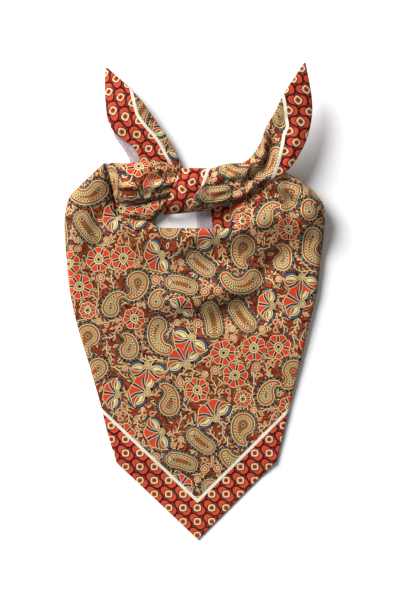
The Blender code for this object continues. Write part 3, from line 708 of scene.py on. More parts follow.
def shell(name, grid, thickness, field, border, slots, body="root", outward=1.0,
          squeeze=None, top_slot=0, back_slot=0, nodes=()):
    """A closed thin shell: the given face outside, a second face a thickness
    inside, and a rim.  field is the print's own plane at each vertex; border is
    the border repeat's plane and the distance to the nearest cut edge."""
    rows, cols = grid.shape[:2]
    n = grid_normals(grid)
    if (n[..., 2].mean() < 0) == (outward > 0):
        n = -n
        flip = True
    else:
        flip = False
    inner = grid - n * thickness
    inner[..., 2] = np.maximum(inner[..., 2], 0.03)
    verts = np.concatenate([grid.reshape(-1, 3), inner.reshape(-1, 3)]) + SHIFT
    idx = np.arange(rows * cols).reshape(rows, cols)
    off = rows * cols
    a, b, c, d = idx[:-1, :-1].ravel(), idx[:-1, 1:].ravel(), idx[1:, 1:].ravel(), idx[1:, :-1].ravel()
    outer_f = np.stack([a, d, c, b], axis=1) if flip else np.stack([a, b, c, d], axis=1)
    inner_f = outer_f[:, ::-1] + off
    loop = np.concatenate([idx[0, :], idx[1:, -1], idx[-1, -2::-1], idx[-2:0:-1, 0]])
    nxt = np.roll(loop, -1)
    rim = np.stack([loop, loop + off, nxt + off, nxt], axis=1)
    if flip:
        rim = rim[:, ::-1]
    faces = np.concatenate([outer_f, inner_f, rim])[:, ::-1]       # facing out
    mesh = bpy.data.meshes.new(name)
    mesh.from_pydata((verts * MM).tolist(), [], faces.tolist())
    # attributes of the print, one value per face corner
    fxy = np.concatenate([field.reshape(-1, 2)] * 2)
    bor = np.concatenate([border.reshape(-1, 3)] * 2)
    corners = faces.ravel()
    f = fxy[faces]                                    # faces, 4, 2
    centre = f.mean(axis=1)
    motif, shape = print_frames(MOTIFS, f, centre)
    vine, _ = print_frames(VINES, f, centre)
    vine[..., 2] = ((centre[:, 0] * 0.013 + centre[:, 1] * 0.017) % 1.0)[:, None]
    leaf = leaf_lookup(centre[:, 0], centre[:, 1])
    dx = f[..., 0] - leaf[:, None, 0]
    dy = f[..., 1] - leaf[:, None, 1]
    cs, sn = np.cos(leaf[:, 2])[:, None], np.sin(leaf[:, 2])[:, None]
    lb = np.stack([(dx * cs + dy * sn) / 3.1, (-dx * sn + dy * cs) / 3.1,
                   np.repeat(leaf[:, 3:4], 4, axis=1)], axis=-1)
    for label, values in (("motif", motif.reshape(-1, 3)), ("shape", shape.reshape(-1, 3)),
                          ("vine", vine.reshape(-1, 3)), ("leaf", lb.reshape(-1, 3)),
                          ("border", bor[corners]),
                          ("field", np.concatenate([fxy[corners], np.zeros((len(corners), 1))], axis=1))):
        at = mesh.attributes.new(label, "FLOAT_VECTOR", "CORNER")
        at.data.foreach_set("vector", values.astype(np.float32).ravel())
    for s_name in slots:
        mesh.materials.append(MATERIALS[s_name])
    count = len(outer_f)
    # one chart: the outer face large, the inner face and the rim in strips
    across = np.linalg.norm(np.diff(grid, axis=1), axis=-1).mean(axis=0)
    if squeeze is not None:
        across = across * squeeze
    down = np.linalg.norm(np.diff(grid, axis=0), axis=-1).mean(axis=1)
    cv = np.concatenate([[0.0], np.cumsum(np.maximum(across, 1e-3))])
    cu = np.concatenate([[0.0], np.cumsum(np.maximum(down, 1e-3))])
    cu, cv = 0.01 + 0.98 * cu / cu[-1], cv / cv[-1]
    uu, vv = np.meshgrid(cu, cv, indexing="ij")
    uv_top = stack(uu, 0.15 + 0.84 * vv).reshape(-1, 2)
    uv_low = stack(uu, 0.01 + 0.10 * vv).reshape(-1, 2)
    uv_all = np.concatenate([uv_top, uv_low])[faces]
    k = np.arange(len(loop))
    u0, u1 = 0.01 + 0.98 * k / len(loop), 0.01 + 0.98 * (k + 1) / len(loop)
    rim_uv = stack(stack(u0, u0, u1, u1), np.tile([0.137, 0.123, 0.123, 0.137], (len(loop), 1)))
    uv_all[2 * count:] = rim_uv if flip else rim_uv[:, ::-1]
    layer = mesh.uv_layers.new(name="OFBake")
    layer.data.foreach_set("uv", uv_all.astype(np.float32).ravel())
    index = np.zeros(len(faces), dtype=np.int32)
    index[:] = top_slot
    index[count:2 * count] = back_slot
    mesh.polygons.foreach_set("material_index", index)
    mesh.polygons.foreach_set("use_smooth", np.ones(len(faces), dtype=bool))
    mesh.update()
    # a row that closes to a point, as at the tip, becomes one vertex
    bm = bmesh.new()
    bm.from_mesh(mesh)
    bmesh.ops.remove_doubles(bm, verts=bm.verts, dist=1e-7)
    bm.to_mesh(mesh)
    bm.free()
    obj = bpy.data.objects.new(name, mesh)
    bpy.context.scene.collection.objects.link(obj)
    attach(obj, body)
    if nodes:
        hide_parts(*nodes)
    cut = CUTS[name]
    list(cut.rests)
    return obj


def ribbon_grid(sections, rows, cols, power=2.2, creases=(), seed=0, wave=0.0, floor=0.1):
    v = smooth_rows(sections, np.linspace(0.0, len(sections) - 1.0, rows + 1))
    t = 0.5 - 0.5 * np.cos(math.pi * (0.06 + 0.88 * np.linspace(0.0, 1.0, cols + 1)))
    t = (t - t[0]) / (t[-1] - t[0])
    a, b, crown = v[:, None, 0:3], v[:, None, 3:6], v[:, 6]
    grid = a + (b - a) * t[None, :, None]
    arch = np.maximum(0.0, 1.0 - np.abs(2.0 * t - 1.0) ** power) ** (1.0 / power)
    grid[..., 2] += crown[:, None] * arch[None, :]
    x, y = grid[..., 0], grid[..., 1]
    soft = np.minimum(1.0, arch * 1.4)[None, :]
    grid[..., 2] += crease_height(creases, x, y) * soft
    if wave:
        grid[..., 2] += ripple(x, y, seed, wave) * (0.35 + 0.65 * soft)
    grid[..., 2] = np.maximum(grid[..., 2], floor)
    return grid


def cumulative(grid, axis):
    step = np.linalg.norm(np.diff(grid, axis=axis), axis=-1)
    pad = [(0, 0), (0, 0)]
    pad[axis] = (1, 0)
    return np.pad(np.cumsum(step, axis=axis), pad)


def edge_frame(grid, edge):
    """Distances of a ribbon's points along and away from one long edge:
    edge 'a' is its first column, 'b' its last."""
    g = grid if edge == "a" else grid[:, ::-1]
    base = g[:, 0]
    tangent = np.gradient(base, axis=0)
    tangent /= np.maximum(np.linalg.norm(tangent, axis=-1, keepdims=True), 1e-9)
    # keep the frame from spinning where the edge is short
    for _ in range(12):
        tangent[1:-1] = (tangent[:-2] + 2 * tangent[1:-1] + tangent[2:]) / 4
    tangent /= np.linalg.norm(tangent, axis=-1, keepdims=True)
    run = np.concatenate([[0.0], np.cumsum(np.linalg.norm(np.diff(base, axis=0), axis=-1))])
    arc = cumulative(g, 1)
    chord = g[:, -1] - base
    chord /= np.maximum(np.linalg.norm(chord, axis=-1, keepdims=True), 1e-9)
    cosine = (chord * tangent).sum(axis=-1)
    cosine = np.clip(cosine, -0.85, 0.85)
    sine = np.sqrt(1.0 - cosine ** 2)
    alongside = run[:, None] + arc * cosine[:, None]
    away = arc * sine[:, None]
    if edge == "b":
        alongside, away = alongside[:, ::-1], away[:, ::-1]
    return alongside, away


def polyline(points, step=0.4, extend=60.0):
    """A rounded line through the points, carried on straight at both ends."""
    pts = np.array(points, dtype=float)
    dense = smooth_rows(pts, np.linspace(0.0, len(pts) - 1.0, 30 * len(pts)))
    a = dense[0] - dense[1:6].mean(axis=0)
    b = dense[-1] - dense[-6:-1].mean(axis=0)
    dense = np.concatenate([[dense[0] + a / np.linalg.norm(a) * extend], dense,
                            [dense[-1] + b / np.linalg.norm(b) * extend]])
    run = np.concatenate([[0.0], np.cumsum(np.linalg.norm(np.diff(dense, axis=0), axis=-1))])
    q = np.arange(0.0, run[-1], step)
    xy = np.stack([np.interp(q, run, dense[:, k]) for k in (0, 1)], axis=-1)
    t = np.gradient(xy, axis=0)
    t /= np.linalg.norm(t, axis=-1, keepdims=True)
    return q - extend, xy, t


def beside(line, x, y):
    """Signed distance to the left of a line, and distance along it."""
    q, xy, t = line
    d2 = (x[..., None] - xy[:, 0]) ** 2 + (y[..., None] - xy[:, 1]) ** 2
    i = d2.argmin(axis=-1)
    dx, dy = x - xy[i, 0], y - xy[i, 1]
    return -dx * t[i, 1] + dy * t[i, 0], q[i] + dx * t[i, 0] + dy * t[i, 1]


# the cream line on each tail, from its tip end down
Mark = namedtuple("Mark", "x y")
LEFT_LINE = (
    Mark(-52.4, 173.0), Mark(-50.6, 165.2), Mark(-48.8, 157.6), Mark(-46.4, 151.0),
    Mark(-40.6, 143.2), Mark(-33.5, 135.4), Mark(-28.0, 127.4), Mark(-24.9, 121.2), Mark(-21.0, 114.2),
)
RIGHT_LINE = (
    Mark(71.0, 167.5), Mark(72.8, 160.2), Mark(74.0, 149.4), Mark(75.1, 141.6),
    Mark(72.5, 135.5), Mark(70.9, 126.0), Mark(68.1, 113.4), Mark(64.8, 103.9), Mark(62.4, 97.8),
)
# the knot's own cut edge, and where its border print stops
KNOT_EDGE = (
    Mark(-12.1, 112.0), Mark(-12.0, 108.4), Mark(-11.8, 104.0), Mark(-14.6, 94.4),
    Mark(-15.4, 86.6), Mark(-20.2, 77.8), Mark(-27.0, 69.4),
)
KNOT_LINE = (
    Mark(11.2, 110.0), Mark(10.6, 107.8), Mark(8.0, 99.6), Mark(4.9, 92.0), Mark(0.2, 86.6),
    Mark(-2.6, 79.8), Mark(-8.8, 73.6), Mark(-17.8, 68.8),
)


def border_plane(u, v):
    """The border repeat stands at 45 degrees to the cut edges."""
    return (v - u) / math.sqrt(2.0), (u + v) / math.sqrt(2.0)


def stack(*arrays):
    return np.stack(arrays, axis=-1)


# ==================================================================== shaders
INK_GAIN = 0.69


def lin(r, g, b):
    out = []
    for c in (r, g, b):
        c = c / 255.0
        out.append(INK_GAIN * (c / 12.92 if c <= 0.04045 else ((c + 0.055) / 1.055) ** 2.4))
    return (*out, 1.0)


INK = dict(
    rust=lin(166, 76, 40), rust_dark=lin(106, 38, 18), orange=lin(228, 74, 40),
    cream=lin(252, 220, 160), olive=lin(152, 138, 78), khaki=lin(98, 90, 52),
    navy=lin(14, 20, 34), slate=lin(84, 98, 118), brown=lin(132, 52, 24), tan=lin(178, 108, 58),
    maroon=lin(82, 0, 2), mauve=lin(158, 56, 44), lobe=lin(226, 82, 48), salmon=lin(214, 98, 76),
    eye=lin(255, 234, 188), amber=lin(202, 96, 24), seed=lin(116, 14, 0), outline=lin(84, 26, 12),
    moss=lin(118, 106, 58), line=lin(255, 247, 226), dark=lin(44, 14, 8), amber2=lin(204, 82, 42),
)


class Graph:
    """A small helper that writes shader arithmetic as plain expressions."""

    def __init__(self, tree):
        self.tree = tree
        self.count = 0

    def node(self, kind, **props):
        n = self.tree.nodes.new(kind)
        for k, v in props.items():
            setattr(n, k, v)
        n.location = ((self.count % 24) * 180, -(self.count // 24) * 220)
        self.count += 1
        return n

    def put(self, socket, value):
        if isinstance(value, Val):
            self.tree.links.new(value.socket, socket)
        elif hasattr(value, "is_output"):
            self.tree.links.new(value, socket)
        else:
            socket.default_value = value

    def math(self, op, *args, clamp=False):
        n = self.node("ShaderNodeMath", operation=op, use_clamp=clamp)
        for k, a in enumerate(args):
            self.put(n.inputs[k], a)
        return Val(self, n.outputs[0])

    def mix(self, factor, a, b):
        n = self.node("ShaderNodeMix", data_type="RGBA")
        self.put(n.inputs["Factor"], factor)
        ins = [s for s in n.inputs if s.type == "RGBA"]
        self.put(ins[0], a)
        self.put(ins[1], b)
        return [s for s in n.outputs if s.type == "RGBA"][0]

    def ramp(self, factor, stops, constant=True):
        n = self.node("ShaderNodeValToRGB")
        cr = n.color_ramp
        cr.interpolation = "CONSTANT" if constant else "LINEAR"
        while len(cr.elements) < len(stops):
            cr.elements.new(0.5)
        for e, (pos, col) in zip(cr.elements, stops):
            e.position = pos
            e.color = col
        self.put(n.inputs[0], factor)
        return n.outputs["Color"]

    def attribute(self, name):
        n = self.node("ShaderNodeAttribute", attribute_name=name, attribute_type="GEOMETRY")
        s = self.node("ShaderNodeSeparateXYZ")
        self.tree.links.new(n.outputs["Vector"], s.inputs[0])
        return [Val(self, o) for o in s.outputs], n.outputs["Vector"]


class Val:
    def __init__(self, g, socket):
        self.g, self.socket = g, socket

    def __add__(self, o): return self.g.math("ADD", self, o)
    def __radd__(self, o): return self.g.math("ADD", o, self)
    def __sub__(self, o): return self.g.math("SUBTRACT", self, o)
    def __rsub__(self, o): return self.g.math("SUBTRACT", o, self)
    def __mul__(self, o): return self.g.math("MULTIPLY", self, o)
    def __rmul__(self, o): return self.g.math("MULTIPLY", o, self)
    def __truediv__(self, o): return self.g.math("DIVIDE", self, o)
    def __lt__(self, o): return self.g.math("LESS_THAN", self, o)
    def __gt__(self, o): return self.g.math("GREATER_THAN", self, o)
    def abs(self): return self.g.math("ABSOLUTE", self)
    def min(self, o): return self.g.math("MINIMUM", self, o)
    def max(self, o): return self.g.math("MAXIMUM", self, o)
    def wrap(self, top, low): return self.g.math("WRAP", self, top, low)
    def clamped(self): return self.g.math("ADD", self, 0.0, clamp=True)
    def mad(self, a, b): return self.g.math("MULTIPLY_ADD", self, a, b)


def hypot(g, a, b):
    return g.math("SQRT", g.math("MULTIPLY_ADD", a, a, b * b))


def border_print(g, bx, by):
    """Eyes on a square grid, each in a slanting pair of lobes, parted by dark
    wavy lines that run both ways."""
    half = PITCH / 2
    ex, ey = bx.wrap(half, -half), by.wrap(half, -half)
    ax, ay = ex.abs(), ey.abs()
    eye = ax.max(ay) * 0.42 + hypot(g, ax, ay) * 0.56
    c, swing, lag = 3.05, 1.3, 2.1
    turn = 2 * math.pi / PITCH
    wave_v = g.math("COSINE", by.mad(-turn, -lag * turn)) * swing
    wave_h = g.math("COSINE", bx.mad(turn, -lag * turn)) * swing
    line_v = (bx - wave_v - half).wrap(half, -half).abs()
    line_h = (by + wave_h + half).wrap(half, -half).abs()
    line = line_v.min(line_h)
    l1 = hypot(g, (bx + c).wrap(half, -half), (by - c).wrap(half, -half))
    l2 = hypot(g, (bx - c).wrap(half, -half), (by + c).wrap(half, -half))
    ground = g.ramp(l1.min(l2).mad(0.2, 0.0), (
        (0.0, INK["lobe"]), (0.56, INK["salmon"]), (0.66, INK["mauve"])))
    ground = g.mix(line < 0.70, ground, INK["maroon"])
    eye_col = g.ramp(eye.mad(0.25, 0.0), (
        (0.0, INK["seed"]), (0.12, INK["seed"]), (0.34, INK["amber"]), (0.45, INK["amber"]),
        (0.53, INK["eye"]), (0.725, INK["eye"]), (0.765, INK["outline"])), constant=False)
    return g.mix(eye < 3.72, ground, eye_col)


def dots(g, along, across, pitch, half_long, half_wide):
    """A row of dots: along runs down the row, across is measured from it."""
    a = (along * (1.0 / pitch)).wrap(0.5, -0.5)
    return hypot(g, a * (pitch / half_long), across * (1.0 / half_wide)) < 1.0


def field_print(g, motif, shape, vine, leaf, field_vec):
    """Paisleys, rosettes, palmettes and beans over vines and leaves on rust."""
    (mx, my, mk), (sa, sb, sh), (vp, vq, vt), (lx, ly, lt) = motif, shape, vine, leaf
    kind = g.math("FLOOR", mk)
    size = (mk - kind) * 100.0
    # --- ground
    warp = g.node("ShaderNodeTexNoise", noise_dimensions="2D")
    g.put(warp.inputs["Vector"], field_vec)
    warp.inputs["Scale"].default_value = 0.22
    warp.inputs["Detail"].default_value = 1.0
    add = g.node("ShaderNodeVectorMath", operation="MULTIPLY_ADD")
    g.put(add.inputs[0], warp.outputs["Color"])
    add.inputs[1].default_value = (6.0, 6.0, 0.0)
    g.put(add.inputs[2], field_vec)
    spot = g.node("ShaderNodeTexVoronoi", voronoi_dimensions="2D", feature="F1")
    g.put(spot.inputs["Vector"], add.outputs[0])
    spot.inputs["Scale"].default_value = 1.0 / 3.1
    dot = Val(g, spot.outputs["Distance"])
    tint = g.node("ShaderNodeSeparateColor")
    g.put(tint.inputs[0], spot.outputs["Color"])
    pick = Val(g, tint.outputs[0])
    col = g.mix(Val(g, warp.outputs["Fac"]).mad(2.2, -0.62).clamped(), INK["rust_dark"], INK["rust"])
    speck = g.ramp(pick, ((0.0, INK["brown"]), (0.16, INK["tan"]), (0.26, INK["rust_dark"]),
                          (0.64, INK["dark"]), (0.80, INK["orange"])))
    col = g.mix(dot < 0.23, col, speck)
    # --- leaves
    blade = ly.abs() - (1.0 - lx * lx) * 0.36
    leaf_col = g.ramp(lt, ((0.0, INK["navy"]), (0.22, INK["orange"]), (0.40, INK["cream"]),
                           (0.55, INK["slate"]), (0.72, INK["tan"]), (0.84, INK["rust_dark"])))
    leaf_edge = g.ramp(lt, ((0.0, INK["cream"]), (0.22, INK["dark"]), (0.55, INK["cream"]), (0.72, INK["dark"])))
    leaf_col = g.mix(blade > -0.19, leaf_col, leaf_edge)
    col = g.mix(blade < 0.02, col, leaf_col)
    # --- vines: a stem with slanting leaves on either side
    side = g.math("SIGN", vp)
    reach = vp.abs()
    slot_v = (vq - reach * (0.55 + reach * 0.10) + side * 1.15).wrap(2.3, -2.3)
    body = g.math("SINE", (reach * (math.pi / 3.5)).min(math.pi).max(0.0)) * 0.86
    vine_leaf = slot_v.abs() - body
    leafy = (reach < 3.5) * (slot_v.abs() < 2.1)
    vine_col = g.ramp(vt, ((0.0, INK["cream"]), (0.34, INK["olive"]), (0.52, INK["cream"]), (0.76, INK["slate"]), (0.86, INK["cream"])))
    shade = leafy * (vine_leaf < 0.26)
    col = g.mix(shade.max(reach < 0.62), col, INK["dark"])
    col = g.mix(leafy * (vine_leaf < 0.0), col, vine_col)
    inner_leaf = g.ramp(vt, ((0.0, INK["tan"]), (0.30, INK["orange"]), (0.46, INK["brown"]), (0.76, INK["navy"]), (0.86, INK["olive"])))
    col = g.mix(leafy * (vine_leaf < -0.46), col, inner_leaf)
    col = g.mix(reach < 0.34, col, INK["cream"])
    # --- shapes that follow a spine
    x1 = mx.abs()
    k = my * sa - x1 * sb
    head = hypot(g, x1, my) - 1.0
    tail = hypot(g, x1, my - sh) - (1.0 - sb * sh)
    flank = x1 * sa + my * sb - 1.0
    on_head = k < 0.0
    on_tail = k > sa * sh
    d = (on_head * head + on_tail * tail + (1.0 - on_head - on_tail) * flank) * size
    theta = g.math("ARCTAN2", x1, my * -1.0)
    turn = g.math("ARCTAN2", sa, sb * -1.0)
    s = (on_head * theta + (1.0 - on_head) * (k + turn)) * size
    paisley = (kind - 1.0).abs() < 0.5
    bean = (kind - 4.0).abs() < 0.5
    bud = (kind - 5.0).abs() < 0.5
    big = paisley.max(bean)
    scallop = (s * (1.0 / 2.7)).wrap(0.5, -0.5).abs()
    parity = (s * (1.0 / 5.4)).wrap(0.5, -0.5) > 0.0
    rim_edge = d + scallop * scallop * 3.0
    rim_col = g.mix(parity, INK["slate"], INK["navy"])
    rim_col = g.mix(scallop > 0.34, rim_col, INK["olive"])
    rim_col = g.mix((d < 0.75) * (d > 0.30), rim_col, INK["khaki"])
    col = g.mix(big * (d < 2.6), col, INK["dark"])
    col = g.mix(big * (rim_edge < 2.45), col, rim_col)
    deep = d * (1.0 + bean * 0.28)           # a bean's rings lie closer together
    rings = g.ramp(deep.mad(-0.1, 0.1), (
        (0.0, INK["khaki"]), (0.075, INK["cream"]), (0.135, INK["moss"]), (0.165, INK["brown"]), (0.185, INK["amber2"]),
        (0.275, INK["brown"]), (0.295, INK["cream"]), (0.335, INK["moss"]), (0.485, INK["khaki"]), (0.51, INK["cream"]),
        (0.545, INK["moss"]), (0.665, INK["brown"]), (0.685, INK["amber2"]), (0.77, INK["brown"]), (0.80, INK["moss"]),
        (0.92, INK["khaki"])))
    rows = dots(g, s, deep + 3.15, 2.1, 0.56, 0.50).max(dots(g, s + 1.05, deep + 5.1, 2.1, 0.50, 0.44))
    rings = g.mix(rows, rings, INK["cream"])
    flecks = dots(g, s + 1.05, deep + 3.15, 2.1, 0.34, 0.58).max(dots(g, s, deep + 5.1, 2.1, 0.34, 0.46))
    rings = g.mix(flecks, rings, INK["khaki"])
    beads = dots(g, s, d + 0.85, 1.15, 0.30, 0.26)
    rings = g.mix(beads, rings, INK["dark"])
    h1 = hypot(g, x1, my - 0.05) * size
    h2 = hypot(g, x1, my - sh + 0.05) * size
    heart = h1.min(h2 + (1.0 - bean) * 50.0)
    heart_col = g.ramp(heart.mad(0.25, 0.0), ((0.0, INK["olive"]), (0.08, INK["navy"]), (0.24, INK["slate"]), (0.30, INK["cream"])))
    rings = g.mix((heart < 1.5) * big, rings, heart_col)
    col = g.mix(big * (d < 0.30), col, rings)
    bud_col = g.ramp(d.mad(-0.4, 0.1), (
        (0.0, INK["dark"]), (0.10, INK["cream"]), (0.26, INK["orange"]), (0.52, INK["cream"]), (0.62, INK["navy"])))
    col = g.mix(bud * (d < 0.22), col, bud_col)
    # --- rosette: seven petals parted by dark bars round a drop-shaped heart
    r = hypot(g, mx, my)
    ang = g.math("ARCTAN2", mx, my)
    fan = (kind - 3.0).abs() < 0.5
    rosette = (kind - 2.0).abs() < 0.5
    fine = (size * 0.36).min(1.0)
    pet = (ang * (7.0 * 0.5 / math.pi)).wrap(0.5, -0.5).abs()     # 0 mid petal, 0.5 between
    between = (0.5 - pet) * r * (2 * math.pi / 7.0) * size
    edge_r = (3.2 - r - pet * pet * 1.7) * size
    petal = g.mix(between < fine * 1.25, INK["orange"], INK["cream"])
    petal = g.mix(between < fine * 0.86, petal, INK["slate"])
    petal = g.mix(between < fine * 0.52, petal, INK["navy"])
    petal = g.mix(edge_r < 0.55, petal, INK["cream"])
    col = g.mix(rosette * (edge_r > -0.5), col, INK["dark"])
    col = g.mix(rosette * (edge_r > 0.0), col, petal)
    hub = g.ramp(d.mad(-0.25, 0.25), (
        (0.0, INK["khaki"]), (0.10, INK["cream"]), (0.32, INK["olive"]), (0.48, INK["brown"]),
        (0.54, INK["cream"]), (0.70, INK["olive"]), (0.84, INK["brown"])))
    hub = g.mix((heart < 1.0) * (size > 2.0), hub, INK["navy"])
    col = g.mix(rosette * (d < fine * 0.9), col, hub)
    # --- palmette: leaves curl off both sides of a crown, a fan of bars above
    horn = hypot(g, x1 - 1.72, my - 1.42)
    hollow = hypot(g, x1 - 2.12, my - 1.98)
    outer = hypot(g, x1 - 1.86, my - 1.26)
    low = (x1 - my) > -0.35
    col = g.mix(fan * (outer < 1.98) * (hollow > 1.20) * low, col, INK["dark"])
    navy_leaf = (outer < 1.90) * (horn > 1.62) * (hollow > 1.30) * (x1 > 0.9)
    col = g.mix(fan * navy_leaf * low, col, INK["navy"])
    blue_leaf = (outer < 1.78) * (horn > 1.68) * (x1 > 1.2)
    col = g.mix(fan * blue_leaf * low, col, INK["slate"])
    col = g.mix(fan * (outer < 1.80) * (hollow < 1.26) * (horn < 1.50) * low, col, INK["olive"])
    pale = (horn < 1.54) * (hollow > 1.22) * low
    col = g.mix(fan * pale, col, INK["cream"])
    vein = (horn < 1.34) * (horn > 1.20) * (hollow > 1.44) * low
    col = g.mix(fan * vein, col, INK["khaki"])
    flare = ang * (1.0 - (r - 1.0) * 0.17)
    bar = (flare * 2.0).wrap(0.5, -0.5).abs() * r * (size / 2.0)
    rim_r = (3.66 - r - (flare * 2.0 + 0.5).wrap(0.5, -0.5).abs() * 0.6) * size
    side_bar = (0.80 - flare.abs()) * r * size
    open_fan = fan * (my > 0.0) * (r < 3.9)
    col = g.mix(open_fan * (side_bar > -0.5) * (rim_r > -0.5), col, INK["dark"])
    fan_col = g.mix(bar < 1.05, INK["orange"], INK["cream"])
    fan_col = g.mix(bar < 0.74, fan_col, INK["slate"])
    fan_col = g.mix(bar < 0.30, fan_col, INK["navy"])
    fan_col = g.mix(side_bar < 1.15, fan_col, INK["navy"])
    fan_col = g.mix(side_bar < 0.7, fan_col, INK["cream"])
    fan_col = g.mix(rim_r < 0.55, fan_col, INK["cream"])
    col = g.mix(open_fan * (side_bar > 0.0) * (rim_r > 0.0), col, fan_col)
    # the crown itself, over the foot of the fan
    cup = hypot(g, mx, my * 1.15 - 0.10)
    crown = g.ramp(cup.mad(0.76, 0.0), (
        (0.0, INK["navy"]), (0.08, INK["cream"]), (0.17, INK["brown"]), (0.22, INK["cream"]), (0.31, INK["olive"]),
        (0.43, INK["khaki"]), (0.47, INK["cream"]), (0.57, INK["dark"])))
    return g.mix(fan * (cup < 0.80), col, crown)


HEM = 3.3                    # width of the narrow stitched hem at a cut edge


def hem_stitches(g, bx, m, colour):
    """A row of small stitches along the inner side of the hem, and the hem's
    own step in height."""
    dash = (bx * (1.0 / 1.7)).wrap(0.5, -0.5).abs()
    row = (m - HEM + 0.5).abs()
    stitch = (dash < 0.31) * (row < 0.2)
    # the gaps between the stitches are darkened: painted shade in the needle holes
    stitch_hole_shade = (dash > 0.31) * (dash < 0.5) * (row < 0.16)
    colour = g.mix(stitch_hole_shade * 0.45, colour, INK["dark"])
    colour = g.mix(stitch * 0.75, colour, INK["salmon"])
    step = (HEM - m).mad(2.2, 0.0).clamped()
    return colour, step * 1.5 - (row < 0.34) * 0.7 + stitch * 0.5


def cloth_finish(g, tree, colour, out, weave=1.0, rough=0.74, relief=None):
    bsdf = g.node("ShaderNodeBsdfPrincipled")
    coord = g.node("ShaderNodeTexCoord")
    nap = g.node("ShaderNodeTexNoise")
    tree.links.new(coord.outputs["Object"], nap.inputs["Vector"])
    nap.inputs["Scale"].default_value = 900.0
    nap.inputs["Detail"].default_value = 2.0
    shade = g.ramp(Val(g, nap.outputs["Fac"]), ((0.3, (0.86, 0.86, 0.86, 1)), (0.7, (1, 1, 1, 1))), constant=False)
    mul = g.node("ShaderNodeMix", data_type="RGBA", blend_type="MULTIPLY")
    mul.inputs["Factor"].default_value = 1.0
    ins = [s for s in mul.inputs if s.type == "RGBA"]
    g.put(ins[0], colour)
    g.put(ins[1], shade)
    tree.links.new([s for s in mul.outputs if s.type == "RGBA"][0], bsdf.inputs["Base Color"])
    (wx, wy, _), _v = g.attribute("field")
    warp_t = g.math("SINE", wx * (2 * math.pi / 0.62))
    weft_t = g.math("SINE", wy * (2 * math.pi / 0.62))
    height = warp_t * weft_t * 0.5 + 0.5
    if relief is not None:
        height = height + relief
    bump = g.node("ShaderNodeBump")
    bump.inputs["Strength"].default_value = 0.22 * weave
    bump.inputs["Distance"].default_value = 0.00012
    g.put(bump.inputs["Height"], height)
    tree.links.new(bump.outputs["Normal"], bsdf.inputs["Normal"])
    rr = g.math("MULTIPLY_ADD", Val(g, nap.outputs["Fac"]), 0.12, rough - 0.06)
    g.put(bsdf.inputs["Roughness"], rr)
    bsdf.inputs["Specular IOR Level"].default_value = 0.10
    bsdf.inputs["Sheen Weight"].default_value = 0.04
    bsdf.inputs["Sheen Roughness"].default_value = 0.45
    tree.links.new(bsdf.outputs[0], out.inputs["Surface"])


def print_material():
    mat = bpy.data.materials.new("printed_cotton")
    mat.use_nodes = True
    tree = mat.node_tree
    tree.nodes.clear()
    g = Graph(tree)
    out = g.node("ShaderNodeOutputMaterial")
    motif, shape = g.attribute("motif")[0], g.attribute("shape")[0]
    vine, leaf = g.attribute("vine")[0], g.attribute("leaf")[0]
    (bx, by, m), _ = g.attribute("border")
    _f, fvec = g.attribute("field")
    col = field_print(g, motif, shape, vine, leaf, fvec)
    edge = border_print(g, bx, by)
    col = g.mix(m < BORDER + LINE, col, INK["line"])
    col = g.mix(m < BORDER, col, edge)
    col, relief = hem_stitches(g, bx, m, col)
    cloth_finish(g, tree, col, out, relief=relief)
    return mat


def wrong_side_material():
    """The pale back of the cloth, the border ghosting through."""
    mat = bpy.data.materials.new("cotton_wrong_side")
    mat.use_nodes = True
    tree = mat.node_tree
    tree.nodes.clear()
    g = Graph(tree)
    out = g.node("ShaderNodeOutputMaterial")
    (bx, by, m), _ = g.attribute("border")
    ghost = border_print(g, bx, by)
    col = g.mix(0.68, ghost, lin(224, 225, 236))
    col, relief = hem_stitches(g, bx, m, col)
    cloth_finish(g, tree, col, out, relief=relief)
    return mat


MATERIALS = {"print": print_material(), "wrong": wrong_side_material()}

# ===================================================================== pieces
FINE = 1.0


